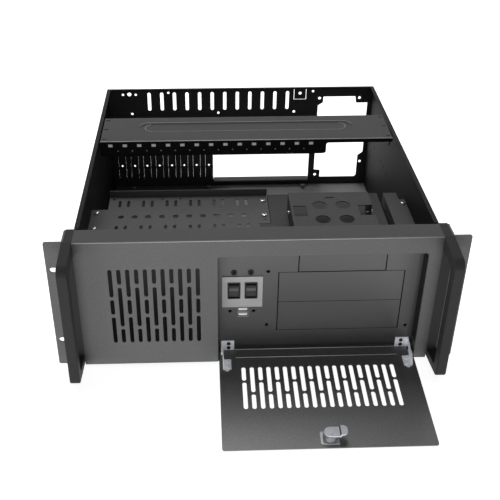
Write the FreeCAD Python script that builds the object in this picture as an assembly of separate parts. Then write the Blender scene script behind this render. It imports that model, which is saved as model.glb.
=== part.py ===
import FreeCAD
import Part
import math
import os

os.makedirs("parts", exist_ok=True)
V = FreeCAD.Vector
AX = V(1, 0, 0)
AY = V(0, 1, 0)
AZ = V(0, 0, 1)

# Four-unit rackmount server case, lid off, front door open.
# X runs to the right seen from the front, Y to the back, Z up. Everything is
# laid out from the front face (Y 0) and the chassis underside (Z 0), and moved
# at the end so that the origin is the middle of the rack hole pattern, on the
# back of the ears.

# ---- outside ----
RACK_W = 482.6
PANEL_H = 177.0
CASE_D = 442.0
PANEL_T = 1.2
SHEET_T = 1.0
FIT = 0.3
HOLE_PLAY = 0.05
PUNCH = 1.0
BEND_IN_R = 0.8
BEND_OUT_R = 1.6

# ---- front box ----
BOX_STEP = 1.2
DECK_D = 29.0
BOX_D = 30.0
DECK_LIP = 9.0
RIM_W = 5.4
REAR_RIM = 3.0

# ---- ears and handles ----
EAR_T = 2.0
EAR_FRONT = 3.0
EAR_CORNER_R = 2.5
EAR_TAB = 20.3
EAR_HOLE_INSET = 8.75
EAR_HOLE_SPAN_Z = 101.6
EAR_SLOT_L = 10.0
EAR_SLOT_W = 7.0
HANDLE_W = 12.0
GRIP_REACH = 46.5
GRIP_T = 12.5
GRIP_TOP_R = 12.0
GRIP_FOOT_R = 7.0
GRIP_ROUND = 1.5

# ---- door opening and recess ----
OPEN_W = 241.0
OPEN_MARGIN = 15.0
OPEN_TOP = 155.5
OPEN_R = 3.5
RECESS_D = 18.0
RECESS_GAP = 0.5

# ---- door and its hinges ----
DOOR_GAP = 1.0
DOOR_FOOT = 3.0
DOOR_R = 3.0
DOOR_OPEN = 94.6
HEM_W = 14.5
HEM_NOTCH = 20.0
PIVOT_BACK = 5.2
PIVOT_UP = 7.5
PIVOT_PIN_R = 1.5
PIVOT_HEAD_R = 2.6
PIVOT_HEAD_T = 0.8
KNUCKLE_R = 3.5
ARM_INSET = 2.8
ARM_GAP = 0.4
HINGE_PLATE_W = 15.1
HINGE_PLATE_H = 14.0
LEAF_W = 10.2
LEAF_START = 17.0
LEAF_L = 16.0
LEAF_RISE = 12.0
RIVET_R = 1.5
RIVET_HEAD_R = 2.4
RIVET_HEAD_T = 0.7

# ---- door slots ----
SLOT_PITCH = 10.0
SLOT_W = 5.0
DOOR_SLOT_COLUMNS = 19
DOOR_SLOT_FIRST = 29.0
DOOR_SLOT_ODD = ((29.3, 51.0), (53.5, 94.3))
DOOR_SLOT_EVEN = ((29.3, 69.2), (72.2, 94.3))

# ---- lock ----
LOCK_X = 119.5
LOCK_UP = 138.5
LOCK_R = 7.6
LOCK_FACE_R = 10.0
LOCK_FACE_T = 1.6
LOCK_DEPTH = 9.2
LOCK_PLUG_R = 4.5
CAM_T = 2.0
CAM_R = 7.0
CAM_REACH = 18.5
CAM_W = 13.0
CLIP_W = 21.0
CLIP_H = 18.5
CLIP_BITE = 0.8
CLIP_T = 1.0

# ---- grille in the left of the panel ----
GRILLE_COLUMNS = 11
GRILLE_FROM_DOOR = 122.8
GRILLE_SLOT_W = 4.8
GRILLE_ODD = ((33.3, 72.1), (76.1, 97.5), (101.4, 140.5))
GRILLE_EVEN = ((33.5, 54.3), (58.1, 115.1), (119.5, 140.5))

# ---- drive bays ----
BAY_INSET = 94.3
CAGE_W = 148.0
CAGE_FOOT = 33.0
SHELF_Z = 120.0
CAGE_BACK = 200.0
SMALL_CAGE_W = 102.0
SMALL_CAGE_TOP = 148.0
SMALL_CAGE_BACK = 155.0
COVER_GAP = 0.6
COVER_SIDE_GAP = 0.9
COVER_T = 1.2
COVER_WING = 14.0
BAY_HOLE_R = 2.2

# ---- switch panel ----
PLATE_W = 48.0
PLATE_H = 44.4
PLATE_T = 1.2
PLATE_IN = 29.5
PLATE_Z = 93.0
ROCKER_IN = 19.5
ROCKER_PITCH = 20.3
ROCKER_Z = 95.4
BEZEL_W = 15.2
BEZEL_H = 23.4
BEZEL_PROUD = 0.9
ROCKER_W = 11.4
ROCKER_H = 17.2
ROCKER_AXLE_R = 1.0
LED_Z = 120.8
LED_RING_R = 3.6
LED_R = 1.6
LED_RING_T = 1.0
LED_SHANK_L = 6.0
LAMP_TAIL = 2.0
PORT_W = 13.2
PORT_H = 14.6
PORT_DROP = 0.6
PORT_DEPTH = 14.0

# ---- shelves ----
SHELF_NOTCH = 21.2
SHELF_FRONT = 36.0
SHELF_BACK = 200.0
SHELF_TAB_BACK = 167.0
SHELF_LIP = 9.5
BRACKET_W = 18.0
BRACKET_REACH = 25.7
BRACKET_TAB_BACK = 182.0

# ---- hold-down bar ----
BAR_END_GAP = 6.2
BAR_TOP = 175.0
BAR_FRONT = 257.0
BAR_BACK = 334.0
BAR_DROP = 22.3
BAR_SHORT_DROP = 4.0
BAR_STEP_IN = 96.0
BAR_LEDGE_Z = 154.0

# ---- rear panel ----
VENT_COUNT = 12
VENT_PITCH = 19.93
VENT_IN = 63.9
VENT_W = 5.3
VENT_LOW = 138.5
VENT_HIGH = 169.5
CARD_COUNT = 8
CARD_PITCH = 20.45
CARD_IN = 7.8
CARD_W = 12.0
CARD_LOW = 17.0
CARD_HIGH = 118.0
SLIT_W = 0.4
CARD_LEDGE_Z = 126.0
CARD_LEDGE_D = 10.0
IO_W = 158.75
IO_H = 44.45
IO_FROM_POST = 132.5
IO_Z = 13.5
PSU_IN = 85.7
PSU_W = 79.5
PSU_LOW = 14.0
PSU_HIGH = 159.4
PSU_HOLE_R = 2.4

# ---- floor ----
POST_SIDE_IN = 32.7
POST_BACK_IN = 14.7
POST_H = 6.5
POST_R = 3.0
POST_HOLE_R = 1.5
FOOT_H = 8.0
FOOT_R = 9.0
FOOT_IN_X = 38.0
FOOT_IN_Y = 42.0

# ---- derived positions ----
CASE_HALF = RACK_W / 2 - EAR_TAB - HANDLE_W + BOX_STEP
INNER_HALF = CASE_HALF - SHEET_T
BOX_HALF = CASE_HALF - BOX_STEP
WING_OUT = BOX_HALF - PANEL_T
WALL_TOP = PANEL_H - PANEL_T
REAR_IN = CASE_D - SHEET_T
EAR_BACK = EAR_FRONT + EAR_T
EAR_SIDE = BOX_HALF + HANDLE_W
OPEN_X1 = BOX_HALF - OPEN_MARGIN
OPEN_X0 = OPEN_X1 - OPEN_W
DOOR_X0 = OPEN_X0 + DOOR_GAP
DOOR_X1 = OPEN_X1 - DOOR_GAP
DOOR_TOP = OPEN_TOP - DOOR_GAP
DOOR_MID = (DOOR_X0 + DOOR_X1) / 2
PIVOT_Z = DOOR_FOOT + PIVOT_UP
BAY_FRONT = RECESS_D
BAY_BACK = RECESS_D + PANEL_T
BAY_X = OPEN_X1 - BAY_INSET
CAGE_HALF = CAGE_W / 2
CAGE_OUT = CAGE_HALF + SHEET_T
SMALL_HALF = SMALL_CAGE_W / 2
SMALL_OUT = SMALL_HALF + SHEET_T
CAGE_HEIGHT = SHELF_Z - CAGE_FOOT
LOCK_AT_X = DOOR_X0 + LOCK_X
LOCK_AT_Z = DOOR_FOOT + LOCK_UP
PLATE_X = OPEN_X0 + PLATE_IN
GRILLE_X = OPEN_X0 - GRILLE_FROM_DOOR
SHELF_LEFT = -INNER_HALF + SHELF_NOTCH
BRACKET_X = INNER_HALF - BRACKET_REACH
BAR_HALF = INNER_HALF - BAR_END_GAP
BAR_STEP_X = BAR_HALF - BAR_STEP_IN
VENT_X = -INNER_HALF + VENT_IN
CARD_X = -INNER_HALF + CARD_IN
PSU_X = INNER_HALF - PSU_IN
POST_X = -CASE_HALF + POST_SIDE_IN
POST_Y = CASE_D - POST_BACK_IN
IO_X = POST_X + IO_FROM_POST
ORIGIN = V(0, EAR_BACK, PANEL_H / 2)
PIVOT = V(0, PIVOT_BACK, PIVOT_Z)


# ---- helpers ----
def box(x0, x1, y0, y1, z0, z1):
    return Part.makeBox(x1 - x0, y1 - y0, z1 - z0, V(x0, y0, z0))


def rod(x, y, z, axis, radius, length):
    return Part.makeCylinder(radius, length, V(x, y, z), axis)


# closed face through (a, b, corner radius) points, mapped into space by place
def rounded_face(points, place):
    corners = []
    for i in range(len(points)):
        a0, b0, _ = points[i - 1]
        a1, b1, r = points[i]
        a2, b2, _ = points[(i + 1) % len(points)]
        if r <= 0:
            corners.append(((a1, b1), None, (a1, b1)))
            continue
        before = math.hypot(a0 - a1, b0 - b1)
        after = math.hypot(a2 - a1, b2 - b1)
        ua = (a0 - a1) / before
        ub = (b0 - b1) / before
        va = (a2 - a1) / after
        vb = (b2 - b1) / after
        half = math.acos(max(-1.0, min(1.0, ua * va + ub * vb))) / 2
        cut = r / math.tan(half)
        wa = ua + va
        wb = ub + vb
        reach = math.hypot(wa, wb)
        dip = r / math.sin(half) - r
        start = (a1 + ua * cut, b1 + ub * cut)
        mid = (a1 + wa / reach * dip, b1 + wb / reach * dip)
        end = (a1 + va * cut, b1 + vb * cut)
        corners.append((start, mid, end))
    edges = []
    for i in range(len(corners)):
        start, mid, end = corners[i]
        if mid is not None:
            edges.append(Part.Arc(place(*start), place(*mid), place(*end)).toShape())
        follow = corners[(i + 1) % len(corners)][0]
        if math.hypot(follow[0] - end[0], follow[1] - end[1]) > 1e-4:
            edges.append(Part.makeLine(place(*end), place(*follow)))
    return Part.Face(Part.Wire(edges))


def prism_x(points, x0, x1):
    face = rounded_face(points, lambda a, b: V(x0, a, b))
    return face.extrude(V(x1 - x0, 0, 0))


def prism_y(points, y0, y1):
    face = rounded_face(points, lambda a, b: V(a, y0, b))
    return face.extrude(V(0, y1 - y0, 0))


def prism_z(points, z0, z1):
    face = rounded_face(points, lambda a, b: V(a, b, z0))
    return face.extrude(V(0, 0, z1 - z0))


def rect(a0, a1, b0, b1, r=0.0):
    return [(a0, b0, r), (a1, b0, r), (a1, b1, r), (a0, b1, r)]


# upright round-ended slot through a sheet that lies across Y
def slot_y(x, z0, z1, width, y0, y1):
    return prism_y(rect(x - width / 2, x + width / 2, z0, z1, width / 2), y0, y1)


# round-ended slot through a level sheet
def slot_z(x0, x1, y0, y1, z0, z1):
    radius = min(x1 - x0, y1 - y0) / 2
    return prism_z(rect(x0, x1, y0, y1, radius), z0, z1)


def mirrored(shape, x):
    return shape.mirror(V(x, 0, 0), AX)


def opened(shape):
    turned = shape.copy()
    turned.rotate(PIVOT, AX, DOOR_OPEN)
    return turned


def save(name, shape):
    moved = shape.copy()
    moved.translate(ORIGIN * -1)
    moved.exportStep("parts/" + name + ".step")


def save_group(name, solids):
    save(name, Part.makeCompound(solids))


# ---- chassis tray: floor, stepped side walls and their top rims ----
def side_wall():
    step = SHEET_T * 2
    turn = BOX_D + SHEET_T
    path = [
        (WING_OUT, PANEL_T + BEND_IN_R, 0),
        (WING_OUT, turn, 0),
        (CASE_HALF, turn + step, 0),
        (CASE_HALF, CASE_D, 0),
        (INNER_HALF, CASE_D, 0),
        (INNER_HALF, turn + step, 0),
        (WING_OUT - SHEET_T, turn, 0),
        (WING_OUT - SHEET_T, PANEL_T + BEND_IN_R, 0),
    ]
    wall = prism_z(path, 0, WALL_TOP)
    rim = box(CASE_HALF - RIM_W, CASE_HALF, turn + step, REAR_IN, WALL_TOP - SHEET_T, WALL_TOP)
    return wall.fuse(rim)


# wall holes as distance in front of the rear panel and height
WALL_HOLES_LEFT = ((156.0, 104.0), (137.0, 104.0), (118.0, 104.0), (378.0, 110.0), (322.0, 110.0))
WALL_HOLES_RIGHT = (
    (146.0, 97.0),
    (126.0, 97.0),
    (106.0, 97.0),
    (54.0, 94.5),
    (184.0, 164.0),
    (147.0, 48.0),
)
WALL_HOLE_R = 2.0
right_wall = side_wall()
left_wall = mirrored(right_wall, 0)
floor = prism_z(
    [
        (-WING_OUT, PANEL_T, 0),
        (WING_OUT, PANEL_T, 0),
        (WING_OUT, BOX_D + SHEET_T, 0),
        (CASE_HALF, BOX_D + SHEET_T * 3, 0),
        (CASE_HALF, CASE_D, 0),
        (-CASE_HALF, CASE_D, 0),
        (-CASE_HALF, BOX_D + SHEET_T * 3, 0),
        (-WING_OUT, BOX_D + SHEET_T, 0),
    ],
    0,
    SHEET_T,
)
tray = floor.fuse([left_wall, right_wall])
tray_cuts = []
SHEET_CUT = SHEET_T + PUNCH * 2
PANEL_CUT = PANEL_T + PUNCH * 2
for back, z in WALL_HOLES_LEFT:
    tray_cuts.append(rod(-CASE_HALF - PUNCH, CASE_D - back, z, AX, WALL_HOLE_R, SHEET_CUT))
for back, z in WALL_HOLES_RIGHT:
    tray_cuts.append(rod(INNER_HALF - PUNCH, CASE_D - back, z, AX, WALL_HOLE_R, SHEET_CUT))

# fixing bolts of the handles pass through the wall wings
HANDLE_BOLT_Y = 17.0
HANDLE_BOLT_END = 30.0
HANDLE_BOLT_Z = (HANDLE_BOLT_END, PANEL_H / 2, PANEL_H - HANDLE_BOLT_END)
HANDLE_BOLT_R = 2.5
HANDLE_BOLT_HEAD_R = 4.2
HANDLE_BOLT_HEAD_T = 2.2
HANDLE_BOLT_GRIP = 8.0
HANDLE_HOLE_R = HANDLE_BOLT_R + HOLE_PLAY
for z in HANDLE_BOLT_Z:
    for x in (WING_OUT - SHEET_T - PUNCH, -WING_OUT - PUNCH):
        tray_cuts.append(rod(x, HANDLE_BOLT_Y, z, AX, HANDLE_HOLE_R, SHEET_CUT))
save("chassis_tray", tray.cut(tray_cuts).removeSplitter())

# ---- rear panel ----
rear = box(-INNER_HALF, INNER_HALF, REAR_IN, CASE_D, SHEET_T, WALL_TOP)
rim_half = CASE_HALF - RIM_W
rear_rim = box(-rim_half, rim_half, CASE_D - REAR_RIM, CASE_D, WALL_TOP - SHEET_T, WALL_TOP)
rear = rear.fuse(rear_rim)
rear_y0 = REAR_IN - PUNCH
rear_y1 = CASE_D + PUNCH
rear_cuts = []
for i in range(VENT_COUNT):
    x = VENT_X + VENT_PITCH * i
    rear_cuts.append(slot_y(x, VENT_LOW, VENT_HIGH, VENT_W, rear_y0, rear_y1))
# small holes as distance from the left wall, height and radius
REAR_HOLES = (
    (22.9, 166.3, 2.0),
    (32.9, 166.9, 3.25),
    (42.9, 166.1, 2.0),
    (94.4, 168.8, 2.0),
    (173.0, 133.7, 2.2),
    (294.5, 134.2, 2.2),
    (323.7, 168.7, 2.0),
)
for side_in, z, r in REAR_HOLES:
    rear_cuts.append(rod(-INNER_HALF + side_in, rear_y0, z, AY, r, SHEET_CUT))
LEDGE_HOLE_IN = 35.7
LEDGE_HOLE_UP = 7.7
LEDGE_HOLE_R = 2.2
ledge_hole_x = -INNER_HALF + LEDGE_HOLE_IN
ledge_hole_z = CARD_LEDGE_Z + LEDGE_HOLE_UP
rear_cuts.append(rod(ledge_hole_x, rear_y0, ledge_hole_z, AY, LEDGE_HOLE_R, SHEET_CUT))
# card covers: slits on both sides, broken by a bridge, and a four-sided hole
BRIDGE_Z = 36.2
BRIDGE_H = 2.4
CARD_HOLE_Z = 39.7
CARD_HOLE_R = 2.1
for i in range(CARD_COUNT):
    x = CARD_X + CARD_PITCH * i + CARD_W / 2
    for side in (-1, 1):
        sx0 = x + side * CARD_W / 2 - SLIT_W / 2
        sx1 = sx0 + SLIT_W
        rear_cuts.append(box(sx0, sx1, rear_y0, rear_y1, CARD_LOW, BRIDGE_Z - BRIDGE_H / 2))
        rear_cuts.append(box(sx0, sx1, rear_y0, rear_y1, BRIDGE_Z + BRIDGE_H / 2, CARD_HIGH))
    diamond = [
        (x, CARD_HOLE_Z - CARD_HOLE_R, 0),
        (x + CARD_HOLE_R, CARD_HOLE_Z, 0),
        (x, CARD_HOLE_Z + CARD_HOLE_R, 0),
        (x - CARD_HOLE_R, CARD_HOLE_Z, 0),
    ]
    rear_cuts.append(prism_y(diamond, rear_y0, rear_y1))
rear_cuts.append(box(IO_X, IO_X + IO_W, rear_y0, rear_y1, IO_Z, IO_Z + IO_H))
# power supply opening, stepped round its four screw holes
PSU_STEP = 8.0
PSU_X1 = PSU_X + PSU_W
psu = [
    (PSU_X + PSU_STEP + 2, PSU_LOW, 1),
    (PSU_X1 - PSU_STEP - 3, PSU_LOW, 1),
    (PSU_X1 - PSU_STEP, PSU_LOW + 3, 0),
    (PSU_X1 - PSU_STEP, PSU_LOW + 40, 1),
    (PSU_X1, PSU_LOW + 46, 1),
    (PSU_X1, PSU_HIGH - 11, 1),
    (PSU_X1 - PSU_STEP * 2.3, PSU_HIGH - 11, 1),
    (PSU_X1 - PSU_STEP * 2.5, PSU_HIGH, 1),
    (PSU_X + PSU_STEP, PSU_HIGH, 1),
    (PSU_X + PSU_STEP, PSU_HIGH - 10, 1),
    (PSU_X, PSU_HIGH - 15, 1),
    (PSU_X, PSU_LOW + 14, 1),
    (PSU_X + PSU_STEP + 2, PSU_LOW + 13, 1),
]
rear_cuts.append(prism_y(psu, rear_y0, rear_y1))
PSU_HOLE_X0 = PSU_X + 2.1
PSU_HOLE_Z0 = PSU_LOW + 4.7
PSU_HOLES = ((0.0, 0.0), (0.0, 138.0), (64.0, 138.0), (74.0, 24.0))
for dx, dz in PSU_HOLES:
    rear_cuts.append(rod(PSU_HOLE_X0 + dx, rear_y0, PSU_HOLE_Z0 + dz, AY, PSU_HOLE_R, SHEET_CUT))
# bent-up catch for the lid, cut free on three sides, with its screw hole
CATCH_IN = 115.2
CATCH_W = 20.0
CATCH_LOW = 155.0
CATCH_H = 17.5
CATCH_SLIT = 0.9
CATCH_HOLE_DROP = 7.0
CATCH_HOLE_R = 2.5
catch_x = INNER_HALF - CATCH_IN
catch_high = CATCH_LOW + CATCH_H
catch_x0 = catch_x - CATCH_W / 2
catch_x1 = catch_x + CATCH_W / 2
rear_cuts.append(box(catch_x0, catch_x0 + CATCH_SLIT, rear_y0, rear_y1, CATCH_LOW, catch_high))
rear_cuts.append(box(catch_x1 - CATCH_SLIT, catch_x1, rear_y0, rear_y1, CATCH_LOW, catch_high))
rear_cuts.append(box(catch_x0, catch_x1, rear_y0, rear_y1, CATCH_LOW, CATCH_LOW + CATCH_SLIT))
rear_cuts.append(rod(catch_x, rear_y0, catch_high - CATCH_HOLE_DROP, AY, CATCH_HOLE_R, SHEET_CUT))
save("rear_panel", rear.cut(rear_cuts).removeSplitter())

# ---- ledge that card brackets are screwed to ----
LEDGE_END = 3.0
LEDGE_UPSTAND = 11.0
LEDGE_SCREW_IN = 2.0
LEDGE_SCREW_R = 1.6
ledge_x0 = CARD_X - LEDGE_END
ledge_x1 = CARD_X + CARD_PITCH * CARD_COUNT
ledge_back = REAR_IN
ledge_front = REAR_IN - CARD_LEDGE_D
ledge_points = [
    (ledge_back, CARD_LEDGE_Z + LEDGE_UPSTAND, 0),
    (ledge_back - SHEET_T, CARD_LEDGE_Z + LEDGE_UPSTAND, 0),
    (ledge_back - SHEET_T, CARD_LEDGE_Z, 0),
    (ledge_front, CARD_LEDGE_Z, 0),
    (ledge_front, CARD_LEDGE_Z - SHEET_T, 0),
    (ledge_back, CARD_LEDGE_Z - SHEET_T, 0),
]
ledge = prism_x(ledge_points, ledge_x0, ledge_x1)
ledge_cuts = []
for i in range(CARD_COUNT):
    x = CARD_X + CARD_PITCH * i + CARD_W - LEDGE_SCREW_IN
    low_z = CARD_LEDGE_Z - SHEET_T - PUNCH
    ledge_cuts.append(rod(x, (ledge_front + ledge_back) / 2, low_z, AZ, LEDGE_SCREW_R, SHEET_CUT))
ledge_y0 = ledge_back - SHEET_T - PUNCH
ledge_cuts.append(rod(ledge_hole_x, ledge_y0, ledge_hole_z, AY, LEDGE_HOLE_R, SHEET_CUT))
save("card_ledge", ledge.cut(ledge_cuts))

# ---- front panel: face, top deck with a lip, side flanges ----
profile = [
    (0, 0, 0),
    (PANEL_T, 0, 0),
    (PANEL_T, WALL_TOP, BEND_IN_R),
    (DECK_D - PANEL_T, WALL_TOP, BEND_IN_R),
    (DECK_D - PANEL_T, PANEL_H - DECK_LIP, 0),
    (DECK_D, PANEL_H - DECK_LIP, 0),
    (DECK_D, PANEL_H, BEND_OUT_R),
    (0, PANEL_H, BEND_OUT_R),
]
panel = prism_x(profile, -BOX_HALF, BOX_HALF)
trim_x = WING_OUT - SHEET_T - FIT
lip_trim = box(trim_x, BOX_HALF + PUNCH, DECK_D - PANEL_T - PUNCH, DECK_D + PUNCH, 0, WALL_TOP)
flange = box(WING_OUT, BOX_HALF, PANEL_T, BOX_D, 0, PANEL_H - BEND_OUT_R)
panel = panel.cut([lip_trim, mirrored(lip_trim, 0)])
panel = panel.fuse([flange, mirrored(flange, 0)])
opening = rect(OPEN_X0, OPEN_X1, -OPEN_R * 2, OPEN_TOP, OPEN_R)
panel_cuts = [prism_y(opening, -PUNCH, PANEL_T + PUNCH)]
for i in range(GRILLE_COLUMNS):
    for z0, z1 in GRILLE_EVEN if i % 2 else GRILLE_ODD:
        x = GRILLE_X + SLOT_PITCH * i
        panel_cuts.append(slot_y(x, z0, z1, GRILLE_SLOT_W, -PUNCH, PANEL_T + PUNCH))
for z in HANDLE_BOLT_Z:
    for x in (WING_OUT - PUNCH, -BOX_HALF - PUNCH):
        panel_cuts.append(rod(x, HANDLE_BOLT_Y, z, AX, HANDLE_HOLE_R, PANEL_CUT))
save("front_panel", panel.cut(panel_cuts).removeSplitter())

# ---- bay panel: recess with its side and top returns ----
back_x0 = OPEN_X0 - RECESS_GAP
back_x1 = OPEN_X1 + RECESS_GAP
back_top = OPEN_TOP + RECESS_GAP
bay_x0 = back_x0 - SHEET_T
bay_x1 = back_x1 + SHEET_T
bay = box(bay_x0, bay_x1, BAY_FRONT, BAY_BACK, SHEET_T, back_top + SHEET_T)
side_l = box(bay_x0, back_x0, PANEL_T, BAY_FRONT, SHEET_T, back_top)
side_r = box(back_x1, bay_x1, PANEL_T, BAY_FRONT, SHEET_T, back_top)
top_return = box(bay_x0, bay_x1, PANEL_T, BAY_FRONT, back_top, back_top + SHEET_T)
bay = bay.fuse([side_l, side_r, top_return])
bay_y0 = BAY_FRONT - PUNCH
bay_y1 = BAY_BACK + PUNCH
cover_edge = CAGE_HALF + COVER_SIDE_GAP
small_edge = SMALL_HALF + COVER_SIDE_GAP
small_in_top = SMALL_CAGE_TOP - SHEET_T
bay_cuts = [
    box(BAY_X - cover_edge, BAY_X + cover_edge, bay_y0, bay_y1, CAGE_FOOT, SHELF_Z),
    box(BAY_X - small_edge, BAY_X + small_edge, bay_y0, bay_y1, SHELF_Z - PUNCH, small_in_top),
]
# keeper slot that the lock cam turns into
KEEPER_ROOM = 2.0
keeper = CAM_REACH + KEEPER_ROOM
keeper_x0 = LOCK_AT_X - keeper
keeper_x1 = LOCK_AT_X + keeper
keeper_y0 = LOCK_DEPTH - PUNCH
keeper_y1 = BAY_FRONT - KEEPER_ROOM
keeper_z1 = back_top + SHEET_T + PUNCH
bay_cuts.append(box(keeper_x0, keeper_x1, keeper_y0, keeper_y1, back_top - PUNCH, keeper_z1))
RETURN_NOTCHES = ((100.0, 117.0), (138.0, 141.5), (147.0, 150.5))
NOTCH_BACK = 3.0
NOTCH_D = 3.0
notch_y0 = PANEL_T + NOTCH_BACK
for z0, z1 in RETURN_NOTCHES:
    bay_cuts.append(box(bay_x0 - PUNCH, back_x0 + PUNCH, notch_y0, notch_y0 + NOTCH_D, z0, z1))
rocker_xs = (OPEN_X0 + ROCKER_IN, OPEN_X0 + ROCKER_IN + ROCKER_PITCH)
BEZEL_BODY_W = 14.0
BEZEL_BODY_H = 21.8
half_w = BEZEL_BODY_W / 2 + FIT
half_h = BEZEL_BODY_H / 2 + FIT
for x in rocker_xs:
    bay_cuts.append(box(x - half_w, x + half_w, bay_y0, bay_y1, ROCKER_Z - half_h, ROCKER_Z + half_h))
LED_OFFSETS = (0.0, 19.8)
led_xs = tuple(OPEN_X0 + ROCKER_IN + offset for offset in LED_OFFSETS)
LED_SHANK_R = 3.0
for x in led_xs:
    bay_cuts.append(rod(x, bay_y0, LED_Z, AY, LED_SHANK_R + HOLE_PLAY, PANEL_CUT))
PORT_SHIFT = 1.0
port_x = PLATE_X + PORT_SHIFT
port_top = PLATE_Z - PLATE_H / 2 - PORT_DROP
port_low = port_top - PORT_H
port_x0 = port_x - PORT_W / 2
port_x1 = port_x + PORT_W / 2
port_hole = rect(port_x0 - FIT, port_x1 + FIT, port_low - FIT, port_top + FIT)
bay_cuts.append(prism_y(port_hole, bay_y0, bay_y1))
BAY_HOLE_SIDE = 87.0
BAY_HOLES_LEFT = ((15.0, 63.8), (43.4, 63.8))
BAY_HOLE_RIGHT = (10.2, 36.7)
BAY_HOLE_LEVELS = (121.4, 42.0)
bay_holes = [(BAY_X - BAY_HOLE_SIDE, z) for z in BAY_HOLE_LEVELS]
bay_holes += [(OPEN_X0 + dx, z) for dx, z in BAY_HOLES_LEFT]
bay_holes.append((OPEN_X1 - BAY_HOLE_RIGHT[0], BAY_HOLE_RIGHT[1]))
for x, z in bay_holes:
    bay_cuts.append(rod(x, bay_y0, z, AY, BAY_HOLE_R, PANEL_CUT))

# ---- hinges: fixed bracket, moving leaf, pin and rivets ----
arm_out = DOOR_X0 + ARM_INSET
arm_in = arm_out + PANEL_T
leaf_out = arm_in + ARM_GAP
leaf_in = leaf_out + PANEL_T
plate_front = BAY_FRONT - PANEL_T
PLATE_FOOT = 4.0
plate_low = PLATE_FOOT
plate_high = plate_low + HINGE_PLATE_H
plate_end = arm_out + HINGE_PLATE_W + PANEL_T
bracket = box(arm_out, plate_end, plate_front, BAY_FRONT, plate_low, plate_high)
arm_points = [
    (BAY_FRONT, plate_high, 0),
    (PIVOT_BACK + 2, PIVOT_Z + KNUCKLE_R + 0.6, 1),
    (PIVOT_BACK, PIVOT_Z + KNUCKLE_R, 0),
    (PIVOT_BACK, PIVOT_Z - KNUCKLE_R + 1.2, 0),
    (BAY_FRONT, PIVOT_Z - KNUCKLE_R + 1.2, 0),
]
arm = prism_x(arm_points, arm_out, arm_in)
knuckle = rod(arm_out, PIVOT_BACK, PIVOT_Z, AX, KNUCKLE_R, PANEL_T)
bracket = bracket.fuse([arm, knuckle])
RIVET_HOLE_R = RIVET_R + HOLE_PLAY
PIN_HOLE_R = PIVOT_PIN_R + HOLE_PLAY
bracket_cuts = [rod(arm_out - PUNCH, PIVOT_BACK, PIVOT_Z, AX, PIN_HOLE_R, PANEL_CUT)]
fixed_rivet_x = plate_end - HINGE_PLATE_W * 0.45
FIXED_RIVET_UP = (3.7, 10.2)
for up in FIXED_RIVET_UP:
    z = plate_low + up
    bracket_cuts.append(rod(fixed_rivet_x, plate_front - PUNCH, z, AY, RIVET_HOLE_R, PANEL_CUT))
    for x in (fixed_rivet_x, 2 * DOOR_MID - fixed_rivet_x):
        bay_cuts.append(rod(x, bay_y0, z, AY, RIVET_HOLE_R, PANEL_CUT))
bracket = bracket.cut(bracket_cuts)
save("bay_panel", bay.cut(bay_cuts).removeSplitter())
save("hinge_bracket_left", bracket)
save("hinge_bracket_right", mirrored(bracket, DOOR_MID))


# solid rivet across a sheet pair, heads on both sides
def rivet(x, y, z, axis, radius, head_r, head_t, span):
    shank = rod(x, y, z, axis, radius, span)
    first = rod(x - axis.x * head_t, y - axis.y * head_t, z - axis.z * head_t, axis, head_r, head_t)
    second = rod(x + axis.x * span, y + axis.y * span, z + axis.z * span, axis, head_r, head_t)
    return shank.fuse([first, second]).removeSplitter()


def sheet_rivet(x, y, z, span):
    return rivet(x, y, z, AY, RIVET_R, RIVET_HEAD_R, RIVET_HEAD_T, span)


fixed_rivets = []
for up in FIXED_RIVET_UP:
    for x in (fixed_rivet_x, 2 * DOOR_MID - fixed_rivet_x):
        span = BAY_BACK - plate_front
        fixed_rivets.append(sheet_rivet(x, plate_front, plate_low + up, span))
save_group("hinge_bracket_rivets", fixed_rivets)

# the leaf is drawn on the shut door, then swung open with it
leaf_z0 = DOOR_FOOT + LEAF_START
leaf_z1 = leaf_z0 + LEAF_L
leaf = prism_y(rect(leaf_out, leaf_out + LEAF_W, leaf_z0, leaf_z1, 1.0), PANEL_T, PANEL_T * 2)
bump = rod(leaf_out + LEAF_W / 2, PANEL_T, leaf_z1, AY, LEAF_W / 4, PANEL_T)
ear_points = [
    (PANEL_T, leaf_z0, 0),
    (PANEL_T + 2.2, leaf_z0 - 4, 2),
    (PIVOT_BACK, PIVOT_Z - KNUCKLE_R, 0),
    (PIVOT_BACK + KNUCKLE_R, PIVOT_Z, 0),
    (PANEL_T + LEAF_RISE - 1, leaf_z0 - 1, 5),
    (PANEL_T + LEAF_RISE, leaf_z0 + 6, 5),
    (PANEL_T + 4, leaf_z1 - 2, 3),
    (PANEL_T, leaf_z1 - 1, 0),
]
leaf_ear = prism_x(ear_points, leaf_out, leaf_in)
leaf_knuckle = rod(leaf_out, PIVOT_BACK, PIVOT_Z, AX, KNUCKLE_R, PANEL_T)
leaf = leaf.fuse([bump, leaf_ear, leaf_knuckle])
leaf_cuts = [rod(leaf_out - PUNCH, PIVOT_BACK, PIVOT_Z, AX, PIVOT_PIN_R, PANEL_CUT)]
leaf_rivet_x = leaf_out + LEAF_W * 0.6
LEAF_RIVET_UP = (4.5, 13.0)
for up in LEAF_RIVET_UP:
    leaf_cuts.append(rod(leaf_rivet_x, PANEL_T - PUNCH, leaf_z0 + up, AY, RIVET_HOLE_R, PANEL_CUT))
leaf = leaf.cut(leaf_cuts)
save("hinge_leaf_left", opened(leaf))
save("hinge_leaf_right", opened(mirrored(leaf, DOOR_MID)))

pin_x = arm_out - ARM_GAP
pin_span = leaf_in - pin_x
pin = rivet(pin_x, PIVOT_BACK, PIVOT_Z, AX, PIVOT_PIN_R, PIVOT_HEAD_R, PIVOT_HEAD_T, pin_span)
save_group("hinge_pins", [opened(pin), opened(mirrored(pin, DOOR_MID))])

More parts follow.
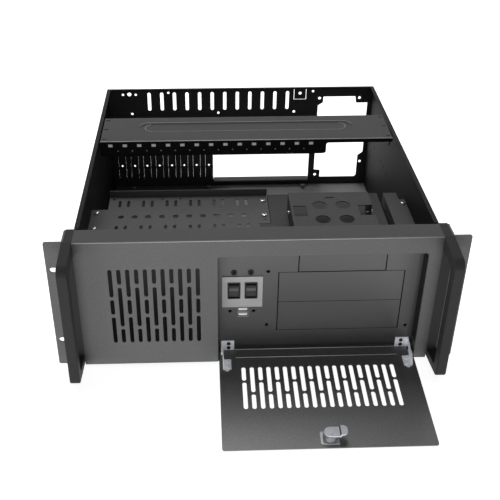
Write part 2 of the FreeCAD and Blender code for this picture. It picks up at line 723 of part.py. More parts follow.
door_rivets = []
for up in LEAF_RIVET_UP:
    for x in (leaf_rivet_x, 2 * DOOR_MID - leaf_rivet_x):
        stud = sheet_rivet(x, 0, leaf_z0 + up, PANEL_T * 2)
        door_rivets.append(opened(stud))
save_group("hinge_leaf_rivets", door_rivets)

# ---- door ----
door = prism_y(rect(DOOR_X0, DOOR_X1, DOOR_FOOT, DOOR_TOP, DOOR_R), 0, PANEL_T)
hem_x0 = DOOR_X0 + HEM_NOTCH
hem_x1 = DOOR_X1 - HEM_NOTCH
HEM_FOLD_R = 1.1
hem_points = [
    (0, DOOR_FOOT, HEM_FOLD_R),
    (PANEL_T * 2, DOOR_FOOT, HEM_FOLD_R),
    (PANEL_T * 2, DOOR_FOOT + HEM_W, 0),
    (0, DOOR_FOOT + HEM_W, 0),
]
hem_room = box(hem_x0, hem_x1, -PUNCH, PANEL_T + PUNCH, DOOR_FOOT - PUNCH, DOOR_FOOT + HEM_W)
door = door.cut(hem_room).fuse(prism_x(hem_points, hem_x0, hem_x1))
door_cuts = []
for i in range(DOOR_SLOT_COLUMNS):
    for d0, d1 in DOOR_SLOT_EVEN if i % 2 else DOOR_SLOT_ODD:
        x = DOOR_X0 + DOOR_SLOT_FIRST + SLOT_PITCH * i
        z0 = DOOR_FOOT + d0
        z1 = DOOR_FOOT + d1
        door_cuts.append(slot_y(x, z0, z1, SLOT_W, -PUNCH, PANEL_T + PUNCH))
door_cuts.append(rod(LOCK_AT_X, -PUNCH, LOCK_AT_Z, AY, LOCK_R + HOLE_PLAY, PANEL_CUT))
for up in LEAF_RIVET_UP:
    for x in (leaf_rivet_x, 2 * DOOR_MID - leaf_rivet_x):
        door_cuts.append(rod(x, -PUNCH, leaf_z0 + up, AY, RIVET_HOLE_R, PANEL_CUT))
save("door", opened(door.cut(door_cuts).removeSplitter()))

# ---- lock: barrel and clip stay on the door, plug and cam turn ----
barrel_end = PANEL_T + LOCK_DEPTH
barrel = rod(LOCK_AT_X, 0, LOCK_AT_Z, AY, LOCK_R, barrel_end)
barrel_face = rod(LOCK_AT_X, -LOCK_FACE_T, LOCK_AT_Z, AY, LOCK_FACE_R, LOCK_FACE_T)
barrel = barrel.fuse(barrel_face)
clip_y = PANEL_T
clip_y1 = clip_y + CLIP_T
clip_r = LOCK_R - CLIP_BITE
bore_r = LOCK_PLUG_R + HOLE_PLAY
bore_l = barrel_end + LOCK_FACE_T + PUNCH * 2
groove_ring = rod(LOCK_AT_X, clip_y, LOCK_AT_Z, AY, LOCK_R + PUNCH, CLIP_T)
groove_core = rod(LOCK_AT_X, clip_y, LOCK_AT_Z, AY, clip_r - HOLE_PLAY, CLIP_T)
bore = rod(LOCK_AT_X, -LOCK_FACE_T - PUNCH, LOCK_AT_Z, AY, bore_r, bore_l)
barrel = barrel.cut([groove_ring.cut(groove_core), bore])
save("lock_barrel", opened(barrel))

CLIP_CORNER_R = 2.0
clip_x0 = LOCK_AT_X - CLIP_W / 2
clip_x1 = LOCK_AT_X + CLIP_W / 2
clip_z0 = LOCK_AT_Z - CLIP_H / 2
clip_z1 = LOCK_AT_Z + CLIP_H / 2
clip = prism_y(rect(clip_x0, clip_x1, clip_z0, clip_z1, CLIP_CORNER_R), clip_y, clip_y1)
clip_eye = rod(LOCK_AT_X, clip_y - PUNCH, LOCK_AT_Z, AY, clip_r, CLIP_T + PUNCH * 2)
mouth_x0 = LOCK_AT_X - clip_r
mouth_x1 = LOCK_AT_X + clip_r
clip_mouth = box(mouth_x0, mouth_x1, clip_y - PUNCH, clip_y1 + PUNCH, clip_z0 - PUNCH, LOCK_AT_Z)
clip = clip.cut([clip_eye, clip_mouth])
save("lock_clip", opened(clip))

cam_y0 = barrel_end + FIT
plug = rod(LOCK_AT_X, -LOCK_FACE_T, LOCK_AT_Z, AY, LOCK_PLUG_R, cam_y0 + LOCK_FACE_T)
KEYWAY_W = 1.2
KEYWAY_H = 6.4
KEYWAY_D = 2.0
key_x0 = LOCK_AT_X - KEYWAY_W / 2
key_z0 = LOCK_AT_Z - KEYWAY_H / 2
key_y0 = -LOCK_FACE_T - PUNCH
keyway = box(key_x0, key_x0 + KEYWAY_W, key_y0, KEYWAY_D, key_z0, key_z0 + KEYWAY_H)
save("lock_plug", opened(plug.cut(keyway)))

# the tongue steps up from the hub plane before it reaches the keeper
JOGGLE = 2.5
JOGGLE_X = 10.2
JOGGLE_RUN = 0.9
CAM_END_R = 5.2
cam_z0 = LOCK_AT_Z - CAM_W / 2
cam_z1 = LOCK_AT_Z + CAM_W / 2
cam_y1 = cam_y0 + CAM_T
bend_x0 = LOCK_AT_X + JOGGLE_X
bend_x1 = bend_x0 + JOGGLE_RUN
cam_path = [
    (LOCK_AT_X - CAM_R, cam_y0, 0),
    (bend_x0 + CAM_T / 2, cam_y0, 0),
    (bend_x1 + CAM_T / 2, cam_y0 + JOGGLE, 0),
    (LOCK_AT_X + CAM_REACH, cam_y0 + JOGGLE, 0),
    (LOCK_AT_X + CAM_REACH, cam_y1 + JOGGLE, 0),
    (bend_x1, cam_y1 + JOGGLE, 0),
    (bend_x0, cam_y1, 0),
    (LOCK_AT_X - CAM_R, cam_y1, 0),
]
cam_plan = [
    (LOCK_AT_X - CAM_R, cam_z0, CAM_W / 2),
    (LOCK_AT_X + CAM_REACH, cam_z0, CAM_END_R),
    (LOCK_AT_X + CAM_REACH, cam_z1, CAM_END_R),
    (LOCK_AT_X - CAM_R, cam_z1, CAM_W / 2),
]
cam_blank = prism_y(cam_plan, cam_y0 - PUNCH, cam_y1 + JOGGLE + PUNCH)
cam = prism_z(cam_path, cam_z0, cam_z1).common(cam_blank)
CAM_BOLT_R = 3.4
CAM_BOLT_T = 1.6
save("lock_cam", opened(cam))
save("lock_cam_bolt", opened(rod(LOCK_AT_X, cam_y1, LOCK_AT_Z, AY, CAM_BOLT_R, CAM_BOLT_T)))

# ---- drive cages ----
wall_l = box(BAY_X - CAGE_OUT, BAY_X - CAGE_HALF, BAY_BACK, CAGE_BACK, CAGE_FOOT, SHELF_Z)
cage_top = box(BAY_X - CAGE_OUT, BAY_X + CAGE_OUT, BAY_BACK, CAGE_BACK, SHELF_Z - SHEET_T, SHELF_Z)
CAGE_FOOT_W = 12.0
foot_x1 = BAY_X - CAGE_HALF + CAGE_FOOT_W
foot_l = box(BAY_X - CAGE_OUT, foot_x1, BAY_BACK, CAGE_BACK, CAGE_FOOT - SHEET_T, CAGE_FOOT)
cage = cage_top.fuse([wall_l, mirrored(wall_l, BAY_X), foot_l, mirrored(foot_l, BAY_X)])
cage_cuts = []
DRIVE_HOLE_Y = (52.0, 131.0)
DRIVE_HOLE_UP = (10.0, 21.8)
SIDE_SLOT_L = 12.0
SIDE_SLOT_W = 3.6
cage_left = BAY_X - CAGE_OUT - PUNCH
cage_right = BAY_X + CAGE_HALF - PUNCH


def side_slot(y, z, length, x):
    half_l = length / 2
    half_w = SIDE_SLOT_W / 2
    points = rect(y - half_l, y + half_l, z - half_w, z + half_w, half_w)
    return prism_x(points, x, x + SHEET_CUT)


for y in DRIVE_HOLE_Y:
    for up in DRIVE_HOLE_UP:
        for level in (0.0, CAGE_HEIGHT / 2):
            z = CAGE_FOOT + level + up
            cage_cuts.append(side_slot(y, z, SIDE_SLOT_L, cage_left))
            cage_cuts.append(side_slot(y, z, SIDE_SLOT_L, cage_right))
cage = cage.cut(cage_cuts)
# flange of the cage top that reaches over to the left shelf, with a seam between
FLANGE_W = 14.3
FLANGE_BACK = 126.0
SEAM = 0.7
flange_x0 = BAY_X - CAGE_OUT - FLANGE_W
top_flange = box(flange_x0, BAY_X - CAGE_OUT, BAY_BACK, FLANGE_BACK, SHELF_Z - SHEET_T, SHELF_Z)
# the cage keeps clear of the lamps behind the bay panel
LAMP_CLEAR = 1.0
lamp_room_l = LED_SHANK_L + LAMP_TAIL + LAMP_CLEAR
lamp_room_r = LED_SHANK_R + LAMP_CLEAR
lamp_rooms = [rod(x, BAY_BACK - PUNCH, LED_Z, AY, lamp_room_r, lamp_room_l) for x in led_xs]
save("drive_cage_large", cage.fuse(top_flange).cut(lamp_rooms).removeSplitter())

small_x0 = BAY_X - SMALL_OUT
small_x1 = BAY_X + SMALL_OUT
small_wall_x = BAY_X - SMALL_HALF
small_l = box(small_x0, small_wall_x, BAY_BACK, SMALL_CAGE_BACK, SHELF_Z, SMALL_CAGE_TOP)
small_top = box(small_x0, small_x1, BAY_BACK, SMALL_CAGE_BACK, small_in_top, SMALL_CAGE_TOP)
small = small_top.fuse([small_l, mirrored(small_l, BAY_X)])
TOP_HOLE_X = 14.8
TOP_HOLE_Y = (89.0, 123.0)
TOP_HOLE_R = 9.25
WINDOW_FRONT = 97.5
WINDOW_BACK = 122.0
WINDOW_LEFT = (3.3, 19.6)
WINDOW_RIGHT_W = 18.9
WINDOW_DROP = 9.0
TOP_SLIT_L = 12.0
TOP_SLIT_W = 2.6
TOP_SLIT_Y = 141.5
top_z0 = small_in_top - PUNCH
top_z1 = SMALL_CAGE_TOP + PUNCH
small_cuts = []
for dx in (-TOP_HOLE_X, TOP_HOLE_X):
    for y in TOP_HOLE_Y:
        small_cuts.append(rod(BAY_X + dx, y, top_z0, AZ, TOP_HOLE_R, SHEET_CUT))
window_x0 = small_x0 + WINDOW_LEFT[0]
window_x1 = small_x0 + WINDOW_LEFT[1]
small_cuts.append(box(window_x0, window_x1, WINDOW_FRONT, WINDOW_BACK, top_z0, top_z1))
# the right window runs on down the side wall
window_x0 = small_x1 - WINDOW_RIGHT_W
small_cuts.append(box(window_x0, small_x1 + PUNCH, WINDOW_FRONT, WINDOW_BACK, top_z0, top_z1))
window_x0 = small_x1 - SHEET_T - PUNCH
window_z0 = SMALL_CAGE_TOP - WINDOW_DROP
small_cuts.append(box(window_x0, small_x1 + PUNCH, WINDOW_FRONT, WINDOW_BACK, window_z0, top_z1))
slit_half = TOP_SLIT_W / 2
slit_y0 = TOP_SLIT_Y - slit_half
slit_y1 = TOP_SLIT_Y + slit_half
slit_x0 = BAY_X - TOP_SLIT_L / 2
slit_x1 = BAY_X + TOP_SLIT_L / 2
small_cuts.append(slot_z(slit_x0, slit_x1, slit_y0, slit_y1, top_z0, top_z1))
SMALL_SLOT_Y = (48.0, 88.0)
SMALL_SLOT_UP = (9.5, 20.0)
SMALL_SLOT_L = 10.0
for y in SMALL_SLOT_Y:
    for up in SMALL_SLOT_UP:
        z = SHELF_Z + up
        small_cuts.append(side_slot(y, z, SMALL_SLOT_L, small_x0 - PUNCH))
        small_cuts.append(side_slot(y, z, SMALL_SLOT_L, small_x1 - SHEET_T - PUNCH))

# drive screws parked in the walls of the small cage
SCREW_R = 1.7
SCREW_HOLE_R = SCREW_R + HOLE_PLAY
SCREW_HEAD_R = 3.2
SCREW_HEAD_T = 1.8
SCREW_L = 5.0
CAGE_SCREW_Y = (66.0, 128.0)
CAGE_SCREW_UP = 14.0
for y in CAGE_SCREW_Y:
    z = SHELF_Z + CAGE_SCREW_UP
    for x in (small_x0 - PUNCH, small_x1 - SHEET_T - PUNCH):
        small_cuts.append(rod(x, y, z, AX, SCREW_HOLE_R, SHEET_CUT))
save("drive_cage_small", small.cut(small_cuts).removeSplitter())


# pan-headed screw standing on a sheet, head up along the axis, thread behind it
def screw(x, y, z, axis, radius, head_r, head_t, length):
    shank = rod(x - axis.x * length, y - axis.y * length, z - axis.z * length, axis, radius, length)
    head = rod(x, y, z, axis, head_r, head_t)
    return shank.fuse(head).removeSplitter()


def small_screw(x, y, z, axis):
    return screw(x, y, z, axis, SCREW_R, SCREW_HEAD_R, SCREW_HEAD_T, SCREW_L)


cage_screws = []
for y in CAGE_SCREW_Y:
    cage_screws.append(small_screw(small_x0, y, SHELF_Z + CAGE_SCREW_UP, AX * -1))
    cage_screws.append(small_screw(small_x1, y, SHELF_Z + CAGE_SCREW_UP, AX))
save_group("cage_screws", cage_screws)


# ---- bay covers: face plate with two wings that spring against the cage ----
COVER_CORNER_R = 0.6
WING_UP = 8.0
WING_DOWN = 6.0


def bay_cover(half, z0, z1):
    left = BAY_X - half
    cover_back = BAY_FRONT + COVER_T
    face = prism_y(rect(left, BAY_X + half, z0, z1, COVER_CORNER_R), BAY_FRONT, cover_back)
    wing_back = BAY_FRONT + COVER_WING
    wing = box(left, left + SHEET_T, cover_back, wing_back, z0 + WING_UP, z1 - WING_DOWN)
    return face.fuse([wing, mirrored(wing, BAY_X)])


cover_step = (CAGE_HEIGHT - COVER_GAP) / 2
low_z0 = CAGE_FOOT + COVER_GAP
low_z1 = CAGE_FOOT + cover_step
high_z0 = low_z1 + COVER_GAP
high_z1 = SHELF_Z - COVER_GAP
save("bay_cover_lower", bay_cover(CAGE_HALF, low_z0, low_z1))
save("bay_cover_upper", bay_cover(CAGE_HALF, high_z0, high_z1))
save("bay_cover_small", bay_cover(SMALL_HALF, SHELF_Z + COVER_GAP, small_in_top - COVER_GAP))

# ---- switch plate, rocker switches, lamps and port ----
plate_y = BAY_FRONT - PLATE_T
PLATE_CORNER_R = 0.5
plate_x0 = PLATE_X - PLATE_W / 2
plate_z0 = PLATE_Z - PLATE_H / 2
plate_face = rect(plate_x0, plate_x0 + PLATE_W, plate_z0, plate_z0 + PLATE_H, PLATE_CORNER_R)
plate = prism_y(plate_face, plate_y, BAY_FRONT)
hole_z0 = ROCKER_Z - half_h
hole_z1 = ROCKER_Z + half_h
plate_cuts = []
for x in rocker_xs:
    plate_cuts.append(box(x - half_w, x + half_w, plate_y - PUNCH, BAY_FRONT + PUNCH, hole_z0, hole_z1))
save("switch_plate", plate.cut(plate_cuts))

KEY_SIDE_GAP = 0.4
KEY_END_GAP = 1.6
AXLE_BACK = 3.2
BEZEL_DEPTH = 17.0
BEZEL_FLOOR = 2.0
BEZEL_CORNER_R = 1.0
AXLE_STUB = 0.9
CAVITY_W = ROCKER_W + KEY_SIDE_GAP * 2
CAVITY_H = ROCKER_H + KEY_END_GAP * 2
AXLE_Y = plate_y + AXLE_BACK


def upright_box(x, width, y0, y1, height):
    half = width / 2
    return box(x - half, x + half, y0, y1, ROCKER_Z - height / 2, ROCKER_Z + height / 2)


def rocker_bezel(x):
    rim_y = plate_y - BEZEL_PROUD
    half = BEZEL_W / 2
    rim_z0 = ROCKER_Z - BEZEL_H / 2
    rim_z1 = ROCKER_Z + BEZEL_H / 2
    rim = prism_y(rect(x - half, x + half, rim_z0, rim_z1, BEZEL_CORNER_R), rim_y, plate_y)
    body_back = plate_y + BEZEL_DEPTH
    body = upright_box(x, BEZEL_BODY_W, plate_y, body_back, BEZEL_BODY_H)
    cavity = upright_box(x, CAVITY_W, rim_y - PUNCH, body_back - BEZEL_FLOOR, CAVITY_H)
    axle_x = x - BEZEL_BODY_W / 2 - PUNCH
    axle_l = BEZEL_BODY_W + PUNCH * 2
    axle = rod(axle_x, AXLE_Y, ROCKER_Z, AX, ROCKER_AXLE_R + HOLE_PLAY, axle_l)
    return rim.fuse(body).cut([cavity, axle])


# key with two flats that meet in a shallow valley, top flat leaning out
KEY_TOP_OUT = 1.3
KEY_VALLEY_IN = 0.7
KEY_FOOT_IN = 0.2
KEY_EDGE_R = 0.4
KEY_END_BACK = 1.0
KEY_MID_BACK = 4.0


def rocker_key(x):
    front = plate_y - BEZEL_PROUD
    half = ROCKER_H / 2
    points = [
        (front - KEY_TOP_OUT, ROCKER_Z + half, KEY_EDGE_R),
        (front + KEY_VALLEY_IN, ROCKER_Z, 0),
        (front + KEY_FOOT_IN, ROCKER_Z - half, KEY_EDGE_R),
        (AXLE_Y + KEY_END_BACK, ROCKER_Z - half, 0),
        (AXLE_Y + KEY_MID_BACK, ROCKER_Z, 0),
        (AXLE_Y + KEY_END_BACK, ROCKER_Z + half, 0),
    ]
    key = prism_x(points, x - ROCKER_W / 2, x + ROCKER_W / 2)
    reach = ROCKER_W / 2 + AXLE_STUB
    axle = rod(x - reach, AXLE_Y, ROCKER_Z, AX, ROCKER_AXLE_R, reach * 2)
    return key.fuse(axle)


save("power_bezel", rocker_bezel(rocker_xs[0]))
save("reset_bezel", rocker_bezel(rocker_xs[1]))
save("power_rocker", rocker_key(rocker_xs[0]))
save("reset_rocker", rocker_key(rocker_xs[1]))

LENS_HOLE_L = LED_RING_T + LED_SHANK_L + PUNCH * 2
rings = []
lamps = []
for x in led_xs:
    ring = rod(x, BAY_FRONT - LED_RING_T, LED_Z, AY, LED_RING_R, LED_RING_T)
    shank = rod(x, BAY_FRONT, LED_Z, AY, LED_SHANK_R, LED_SHANK_L)
    lens_hole = rod(x, BAY_FRONT - LED_RING_T - PUNCH, LED_Z, AY, LED_R, LENS_HOLE_L)
    rings.append(ring.fuse(shank).cut(lens_hole).removeSplitter())
    lamp = rod(x, BAY_FRONT - LED_RING_T / 2, LED_Z, AY, LED_R, LED_SHANK_L + LAMP_TAIL)
    lamps.append(lamp)
save_group("led_holders", rings)
save_group("led_lamps", lamps)

PORT_PROUD = 1.4
PORT_WALL = 0.5
PORT_MIDDLE = 2.0
PORT_FLOOR = 2.0
PORT_LIP = 1.0
TONGUE_H = 1.6
TONGUE_SIDE = 1.5
TONGUE_IN = 1.0
MOUTH_H = (PORT_H - PORT_WALL * 2 - PORT_MIDDLE) / 2
port_front = BAY_FRONT - PORT_PROUD
port_back = port_front + PORT_DEPTH
mouth_back = port_back - PORT_FLOOR
shell = box(port_x0, port_x1, port_front, port_back, port_low, port_top)
mouths = []
tongues = []
for z0 in (port_low + PORT_WALL, port_top - PORT_WALL - MOUTH_H):
    mouth_x0 = port_x0 + PORT_WALL
    mouth_x1 = port_x1 - PORT_WALL
    mouths.append(box(mouth_x0, mouth_x1, port_front - PUNCH, mouth_back, z0, z0 + MOUTH_H))
    low = z0 + (MOUTH_H - TONGUE_H) / 2
    tongue_x0 = port_x0 + TONGUE_SIDE
    tongue_x1 = port_x1 - TONGUE_SIDE
    tongues.append(box(tongue_x0, tongue_x1, port_front + TONGUE_IN, mouth_back, low, low + TONGUE_H))
lip_x0 = port_x0 - PORT_LIP
lip_x1 = port_x1 + PORT_LIP
port_lip = box(lip_x0, lip_x1, BAY_BACK, BAY_BACK + PORT_LIP, port_low - PORT_LIP, port_top + PORT_LIP)
shell = shell.fuse(port_lip).cut(mouths)
save("usb_port", shell)
save_group("usb_port_tongues", tongues)

# ---- left drive shelf ----
right_edge = BAY_X - CAGE_OUT - SEAM
flange_edge = flange_x0 - SEAM
flange_end = FLANGE_BACK + SEAM
SHELF_DROP = 16.0
shelf_points = [
    (-INNER_HALF, SHELF_FRONT, 0),
    (flange_edge, SHELF_FRONT, 0),
    (flange_edge, flange_end, 0),
    (right_edge, flange_end, 0),
    (right_edge, SHELF_BACK, 0),
    (SHELF_LEFT, SHELF_BACK, 0),
    (SHELF_LEFT, SHELF_TAB_BACK, 0),
    (-INNER_HALF, SHELF_TAB_BACK, 0),
]
shelf_low = SHELF_Z - SHEET_T
drop_z = SHELF_Z - SHELF_DROP
shelf = prism_z(shelf_points, shelf_low, SHELF_Z)
lip_y = SHELF_BACK - SHEET_T
lip = box(SHELF_LEFT, right_edge, lip_y, SHELF_BACK, shelf_low, SHELF_Z + SHELF_LIP)
wall_in = -INNER_HALF + SHEET_T
wall_flange = box(-INNER_HALF, wall_in, SHELF_FRONT, SHELF_TAB_BACK, drop_z, SHELF_Z)
cage_flange = box(right_edge - SHEET_T, right_edge, flange_end, SHELF_BACK, drop_z, SHELF_Z)
# short strip that carries the shelf on the flange of the cage top
strap_x1 = flange_x0 + FLANGE_W / 2
strap_z0 = shelf_low - SHEET_T
strap = box(flange_edge - SHEET_T, strap_x1, SHELF_FRONT, FLANGE_BACK, strap_z0, shelf_low)
shelf = shelf.fuse([lip, wall_flange, cage_flange, strap])
shelf_cuts = []
shelf_z0 = shelf_low - PUNCH
shelf_z1 = SHELF_Z + PUNCH
PAIR_COUNT = 6
PAIR_PITCH = 31.4
PAIR_SPREAD = 11.4
PAIR_IN = 35.8
PAIR_HALF = 2.0
LONG_SLOT_Y = (173.0, 189.0)
SHORT_SLOT_Y = (117.5, 126.5)
SHELF_HOLE_COUNT = 10
SHELF_HOLE_PITCH = 17.77
SHELF_HOLE_IN = 39.6
SHELF_HOLE_Y = 147.5
SHELF_HOLE_R = 4.0
for i in range(PAIR_COUNT):
    for dx in (0.0, PAIR_SPREAD):
        x = -INNER_HALF + PAIR_IN + PAIR_PITCH * i + dx
        for y0, y1 in (LONG_SLOT_Y, SHORT_SLOT_Y):
            shelf_cuts.append(slot_z(x - PAIR_HALF, x + PAIR_HALF, y0, y1, shelf_z0, shelf_z1))
for i in range(SHELF_HOLE_COUNT):
    x = -INNER_HALF + SHELF_HOLE_IN + SHELF_HOLE_PITCH * i
    shelf_cuts.append(rod(x, SHELF_HOLE_Y, shelf_z0, AZ, SHELF_HOLE_R, SHEET_CUT))
# screws and spare holes: by the wall, and beside the cage
WALL_SCREW_IN = 7.2
WALL_SCREW_Y = (157.9, 119.9)
CAGE_SIDE_IN = 6.6
CAGE_SIDE_SCREW_Y = (183.0, 146.0)
CAGE_SIDE_HOLE_Y = (191.5, 135.5)
BACK_HOLE_Y = 193.0
BACK_HOLES_IN = (27.2, 92.2, 116.2, 181.2)
shelf_screw_at = [(-INNER_HALF + WALL_SCREW_IN, y) for y in WALL_SCREW_Y]
shelf_screw_at += [(right_edge - CAGE_SIDE_IN, y) for y in CAGE_SIDE_SCREW_Y]
shelf_hole_at = [(right_edge - CAGE_SIDE_IN, y) for y in CAGE_SIDE_HOLE_Y]
shelf_hole_at += [(-INNER_HALF + dx, BACK_HOLE_Y) for dx in BACK_HOLES_IN]
for x, y in shelf_screw_at + shelf_hole_at:
    shelf_cuts.append(rod(x, y, shelf_z0, AZ, SCREW_HOLE_R, SHEET_CUT))
save("left_drive_shelf", shelf.cut(shelf_cuts).removeSplitter())

# ---- right shelf bracket ----
bracket_points = [
    (BRACKET_X, SHELF_FRONT, 0),
    (INNER_HALF, SHELF_FRONT, 0),
    (INNER_HALF, BRACKET_TAB_BACK, 0),
    (BRACKET_X + BRACKET_W, BRACKET_TAB_BACK, 0),
    (BRACKET_X + BRACKET_W, SHELF_BACK, 0),
    (BRACKET_X, SHELF_BACK, 0),
]
right_shelf = prism_z(bracket_points, shelf_low, SHELF_Z)
wall_in = INNER_HALF - SHEET_T
right_flange = box(wall_in, INNER_HALF, SHELF_FRONT, BRACKET_TAB_BACK, drop_z, SHELF_Z)
right_drop = box(BRACKET_X, BRACKET_X + SHEET_T, SHELF_FRONT, SHELF_BACK, drop_z, SHELF_Z)
right_shelf = right_shelf.fuse([right_flange, right_drop])
RIGHT_SCREW_IN = 4.2
RIGHT_SCREW_Y = 171.0
right_screw_x = INNER_HALF - RIGHT_SCREW_IN
right_cut = rod(right_screw_x, RIGHT_SCREW_Y, shelf_z0, AZ, SCREW_HOLE_R, SHEET_CUT)
save("right_shelf_bracket", right_shelf.cut(right_cut).removeSplitter())
shelf_screws = [small_screw(right_screw_x, RIGHT_SCREW_Y, SHELF_Z, AZ)]
for x, y in shelf_screw_at:
    shelf_screws.append(small_screw(x, y, SHELF_Z, AZ))
save_group("shelf_screws", shelf_screws)

# ---- hold-down bar and the ledges it rests on ----
bar_z = BAR_TOP - SHEET_T
bar = box(-BAR_HALF, BAR_HALF, BAR_FRONT, BAR_BACK, bar_z, BAR_TOP)
BAR_STEP_R = 3.0
tall_points = [
    (-BAR_HALF, BAR_TOP, 0),
    (-BAR_HALF, BAR_TOP - BAR_DROP, 0),
    (BAR_STEP_X, BAR_TOP - BAR_DROP, BAR_STEP_R),
    (BAR_STEP_X, BAR_TOP - BAR_SHORT_DROP, BAR_STEP_R),
    (BAR_HALF, BAR_TOP - BAR_SHORT_DROP, 0),
    (BAR_HALF, BAR_TOP, 0),
]
tall = prism_y(tall_points, BAR_FRONT, BAR_FRONT + SHEET_T)
BAR_BACK_DROP = 8.0
BAR_END_FRONT = 40.0
BAR_END_BACK = 8.0
bar_end_y0 = BAR_FRONT + BAR_END_FRONT
bar_end_y1 = BAR_BACK - BAR_END_BACK
back_drop_z = BAR_TOP - BAR_BACK_DROP
bar_back_flange = box(-BAR_HALF, BAR_HALF, BAR_BACK - SHEET_T, BAR_BACK, back_drop_z, BAR_TOP)
bar_end = box(BAR_HALF - SHEET_T, BAR_HALF, bar_end_y0, bar_end_y1, BAR_LEDGE_Z, BAR_TOP)
# shallow pressed trough along the bar
BAR_RIB_W = 306.8
BAR_RIB_D = 30.0
BAR_RIB_IN = 29.5
RIB_SLOPE = 1.6
rib_half = BAR_RIB_W / 2
rib_y0 = BAR_FRONT + BAR_RIB_IN
rib_y1 = rib_y0 + BAR_RIB_D
well = slot_z(-rib_half, rib_half, rib_y0, rib_y1, bar_z - SHEET_T, bar_z)
press_half = rib_half - RIB_SLOPE
pressed = slot_z(-press_half, press_half, rib_y0 + RIB_SLOPE, rib_y1 - RIB_SLOPE, bar_z, BAR_TOP + PUNCH)
bar = bar.fuse([tall, bar_back_flange, bar_end, mirrored(bar_end, 0), well])
WINDOW_COUNT = 15
WINDOW_PITCH = 19.9
WINDOW_IN = 13.6
WINDOW_HALF = 3.0
BAR_WINDOW_LOW = 166.3
BAR_WINDOW_HIGH = 170.8
window_y0 = BAR_FRONT - PUNCH
window_y1 = BAR_FRONT + SHEET_T + PUNCH
bar_cuts = [pressed]
for i in range(WINDOW_COUNT):
    x0 = -BAR_HALF + WINDOW_IN + WINDOW_PITCH * i - WINDOW_HALF
    x1 = x0 + WINDOW_HALF * 2
    bar_cuts.append(box(x0, x1, window_y0, window_y1, BAR_WINDOW_LOW, BAR_WINDOW_HIGH))
# short slits across both ends of the bar
END_SLIT_L = 6.0
END_SLIT_W = 2.0
END_SLIT_IN = 1.5
END_SLIT_AT = (8.5, 39.5, 69.5)
end_slit_x0 = BAR_HALF - END_SLIT_IN - END_SLIT_L
end_slit_x1 = BAR_HALF - END_SLIT_IN
for dy in END_SLIT_AT:
    y0 = BAR_FRONT + dy - END_SLIT_W / 2
    y1 = y0 + END_SLIT_W
    end_slit = box(end_slit_x0, end_slit_x1, y0, y1, bar_z - PUNCH, BAR_TOP + PUNCH)
    bar_cuts.append(end_slit)
    bar_cuts.append(mirrored(end_slit, 0))
save("hold_down_bar", bar.cut(bar_cuts).removeSplitter())

LEDGE_REACH = 3.0
LEDGE_DROP = 10.0
ledge_in = BAR_HALF - LEDGE_REACH
ledge_low = BAR_LEDGE_Z - SHEET_T
ledge_pts = [
    (INNER_HALF, BAR_LEDGE_Z, 0),
    (ledge_in, BAR_LEDGE_Z, 0),
    (ledge_in, ledge_low, 0),
    (INNER_HALF - SHEET_T, ledge_low, 0),
    (INNER_HALF - SHEET_T, BAR_LEDGE_Z - LEDGE_DROP, 0),
    (INNER_HALF, BAR_LEDGE_Z - LEDGE_DROP, 0),
]
bar_ledge = prism_y(ledge_pts, bar_end_y0, bar_end_y1)
save_group("bar_ledges", [bar_ledge, mirrored(bar_ledge, 0)])

# ---- handles: cast grips on blocks that close the front box ----
HANDLE_FOOT = 2.8
GRIP_FOOT_UP = 7.0
GRIP_TOP_DOWN = 4.5
FINGER_FOOT_IN = 11.2
FINGER_FOOT_OUT = 16.0
FINGER_TOP_OUT = 17.0
FINGER_TOP_IN = 16.0
FINGER_R = 4.0
FINGER_FOOT_R = 5.0
FINGER_TOP_R = 8.0
grip_points = [
    (EAR_FRONT, HANDLE_FOOT, 0),
    (-GRIP_REACH, HANDLE_FOOT + GRIP_FOOT_UP, GRIP_FOOT_R),
    (-GRIP_REACH, PANEL_H - GRIP_TOP_DOWN, GRIP_TOP_R),
    (EAR_FRONT, PANEL_H, 0),
]
grip = prism_x(grip_points, BOX_HALF, EAR_SIDE)
finger_points = [
    (0, HANDLE_FOOT + FINGER_FOOT_IN, FINGER_R),
    (-GRIP_REACH + GRIP_T, HANDLE_FOOT + FINGER_FOOT_OUT, FINGER_FOOT_R),
    (-GRIP_REACH + GRIP_T, PANEL_H - FINGER_TOP_OUT, FINGER_TOP_R),
    (0, PANEL_H - FINGER_TOP_IN, FINGER_R),
]
finger = prism_x(finger_points, BOX_HALF - PUNCH, EAR_SIDE + PUNCH)
round_edges = []
for edge in grip.Edges:
    bounds = edge.BoundBox
    on_side = bounds.XLength < 1e-6
    if on_side and bounds.YMin < -1:
        round_edges.append(edge)
grip = grip.makeFillet(GRIP_ROUND, round_edges)
block = box(BOX_HALF, EAR_SIDE - EAR_T, EAR_FRONT, BOX_D, HANDLE_FOOT, PANEL_H)
handle = grip.fuse(block).cut(finger)
handle_cuts = []
for z in HANDLE_BOLT_Z:
    bolt_room = HANDLE_BOLT_GRIP + PUNCH
    handle_cuts.append(rod(BOX_HALF - PUNCH, HANDLE_BOLT_Y, z, AX, HANDLE_HOLE_R, bolt_room))
handle = handle.cut(handle_cuts).removeSplitter()
save("handle_right", handle)
save("handle_left", mirrored(handle, 0))

handle_bolts = []
bolt_seat = WING_OUT - SHEET_T
BOLT_SHORT = 0.5
bolt_length = SHEET_T + PANEL_T + HANDLE_BOLT_GRIP - BOLT_SHORT
bolt_head = (HANDLE_BOLT_HEAD_R, HANDLE_BOLT_HEAD_T)
for z in HANDLE_BOLT_Z:
    bolt = screw(bolt_seat, HANDLE_BOLT_Y, z, AX * -1, HANDLE_BOLT_R, *bolt_head, bolt_length)
    handle_bolts.append(bolt)
    handle_bolts.append(mirrored(bolt, 0))
save_group("handle_bolts", handle_bolts)

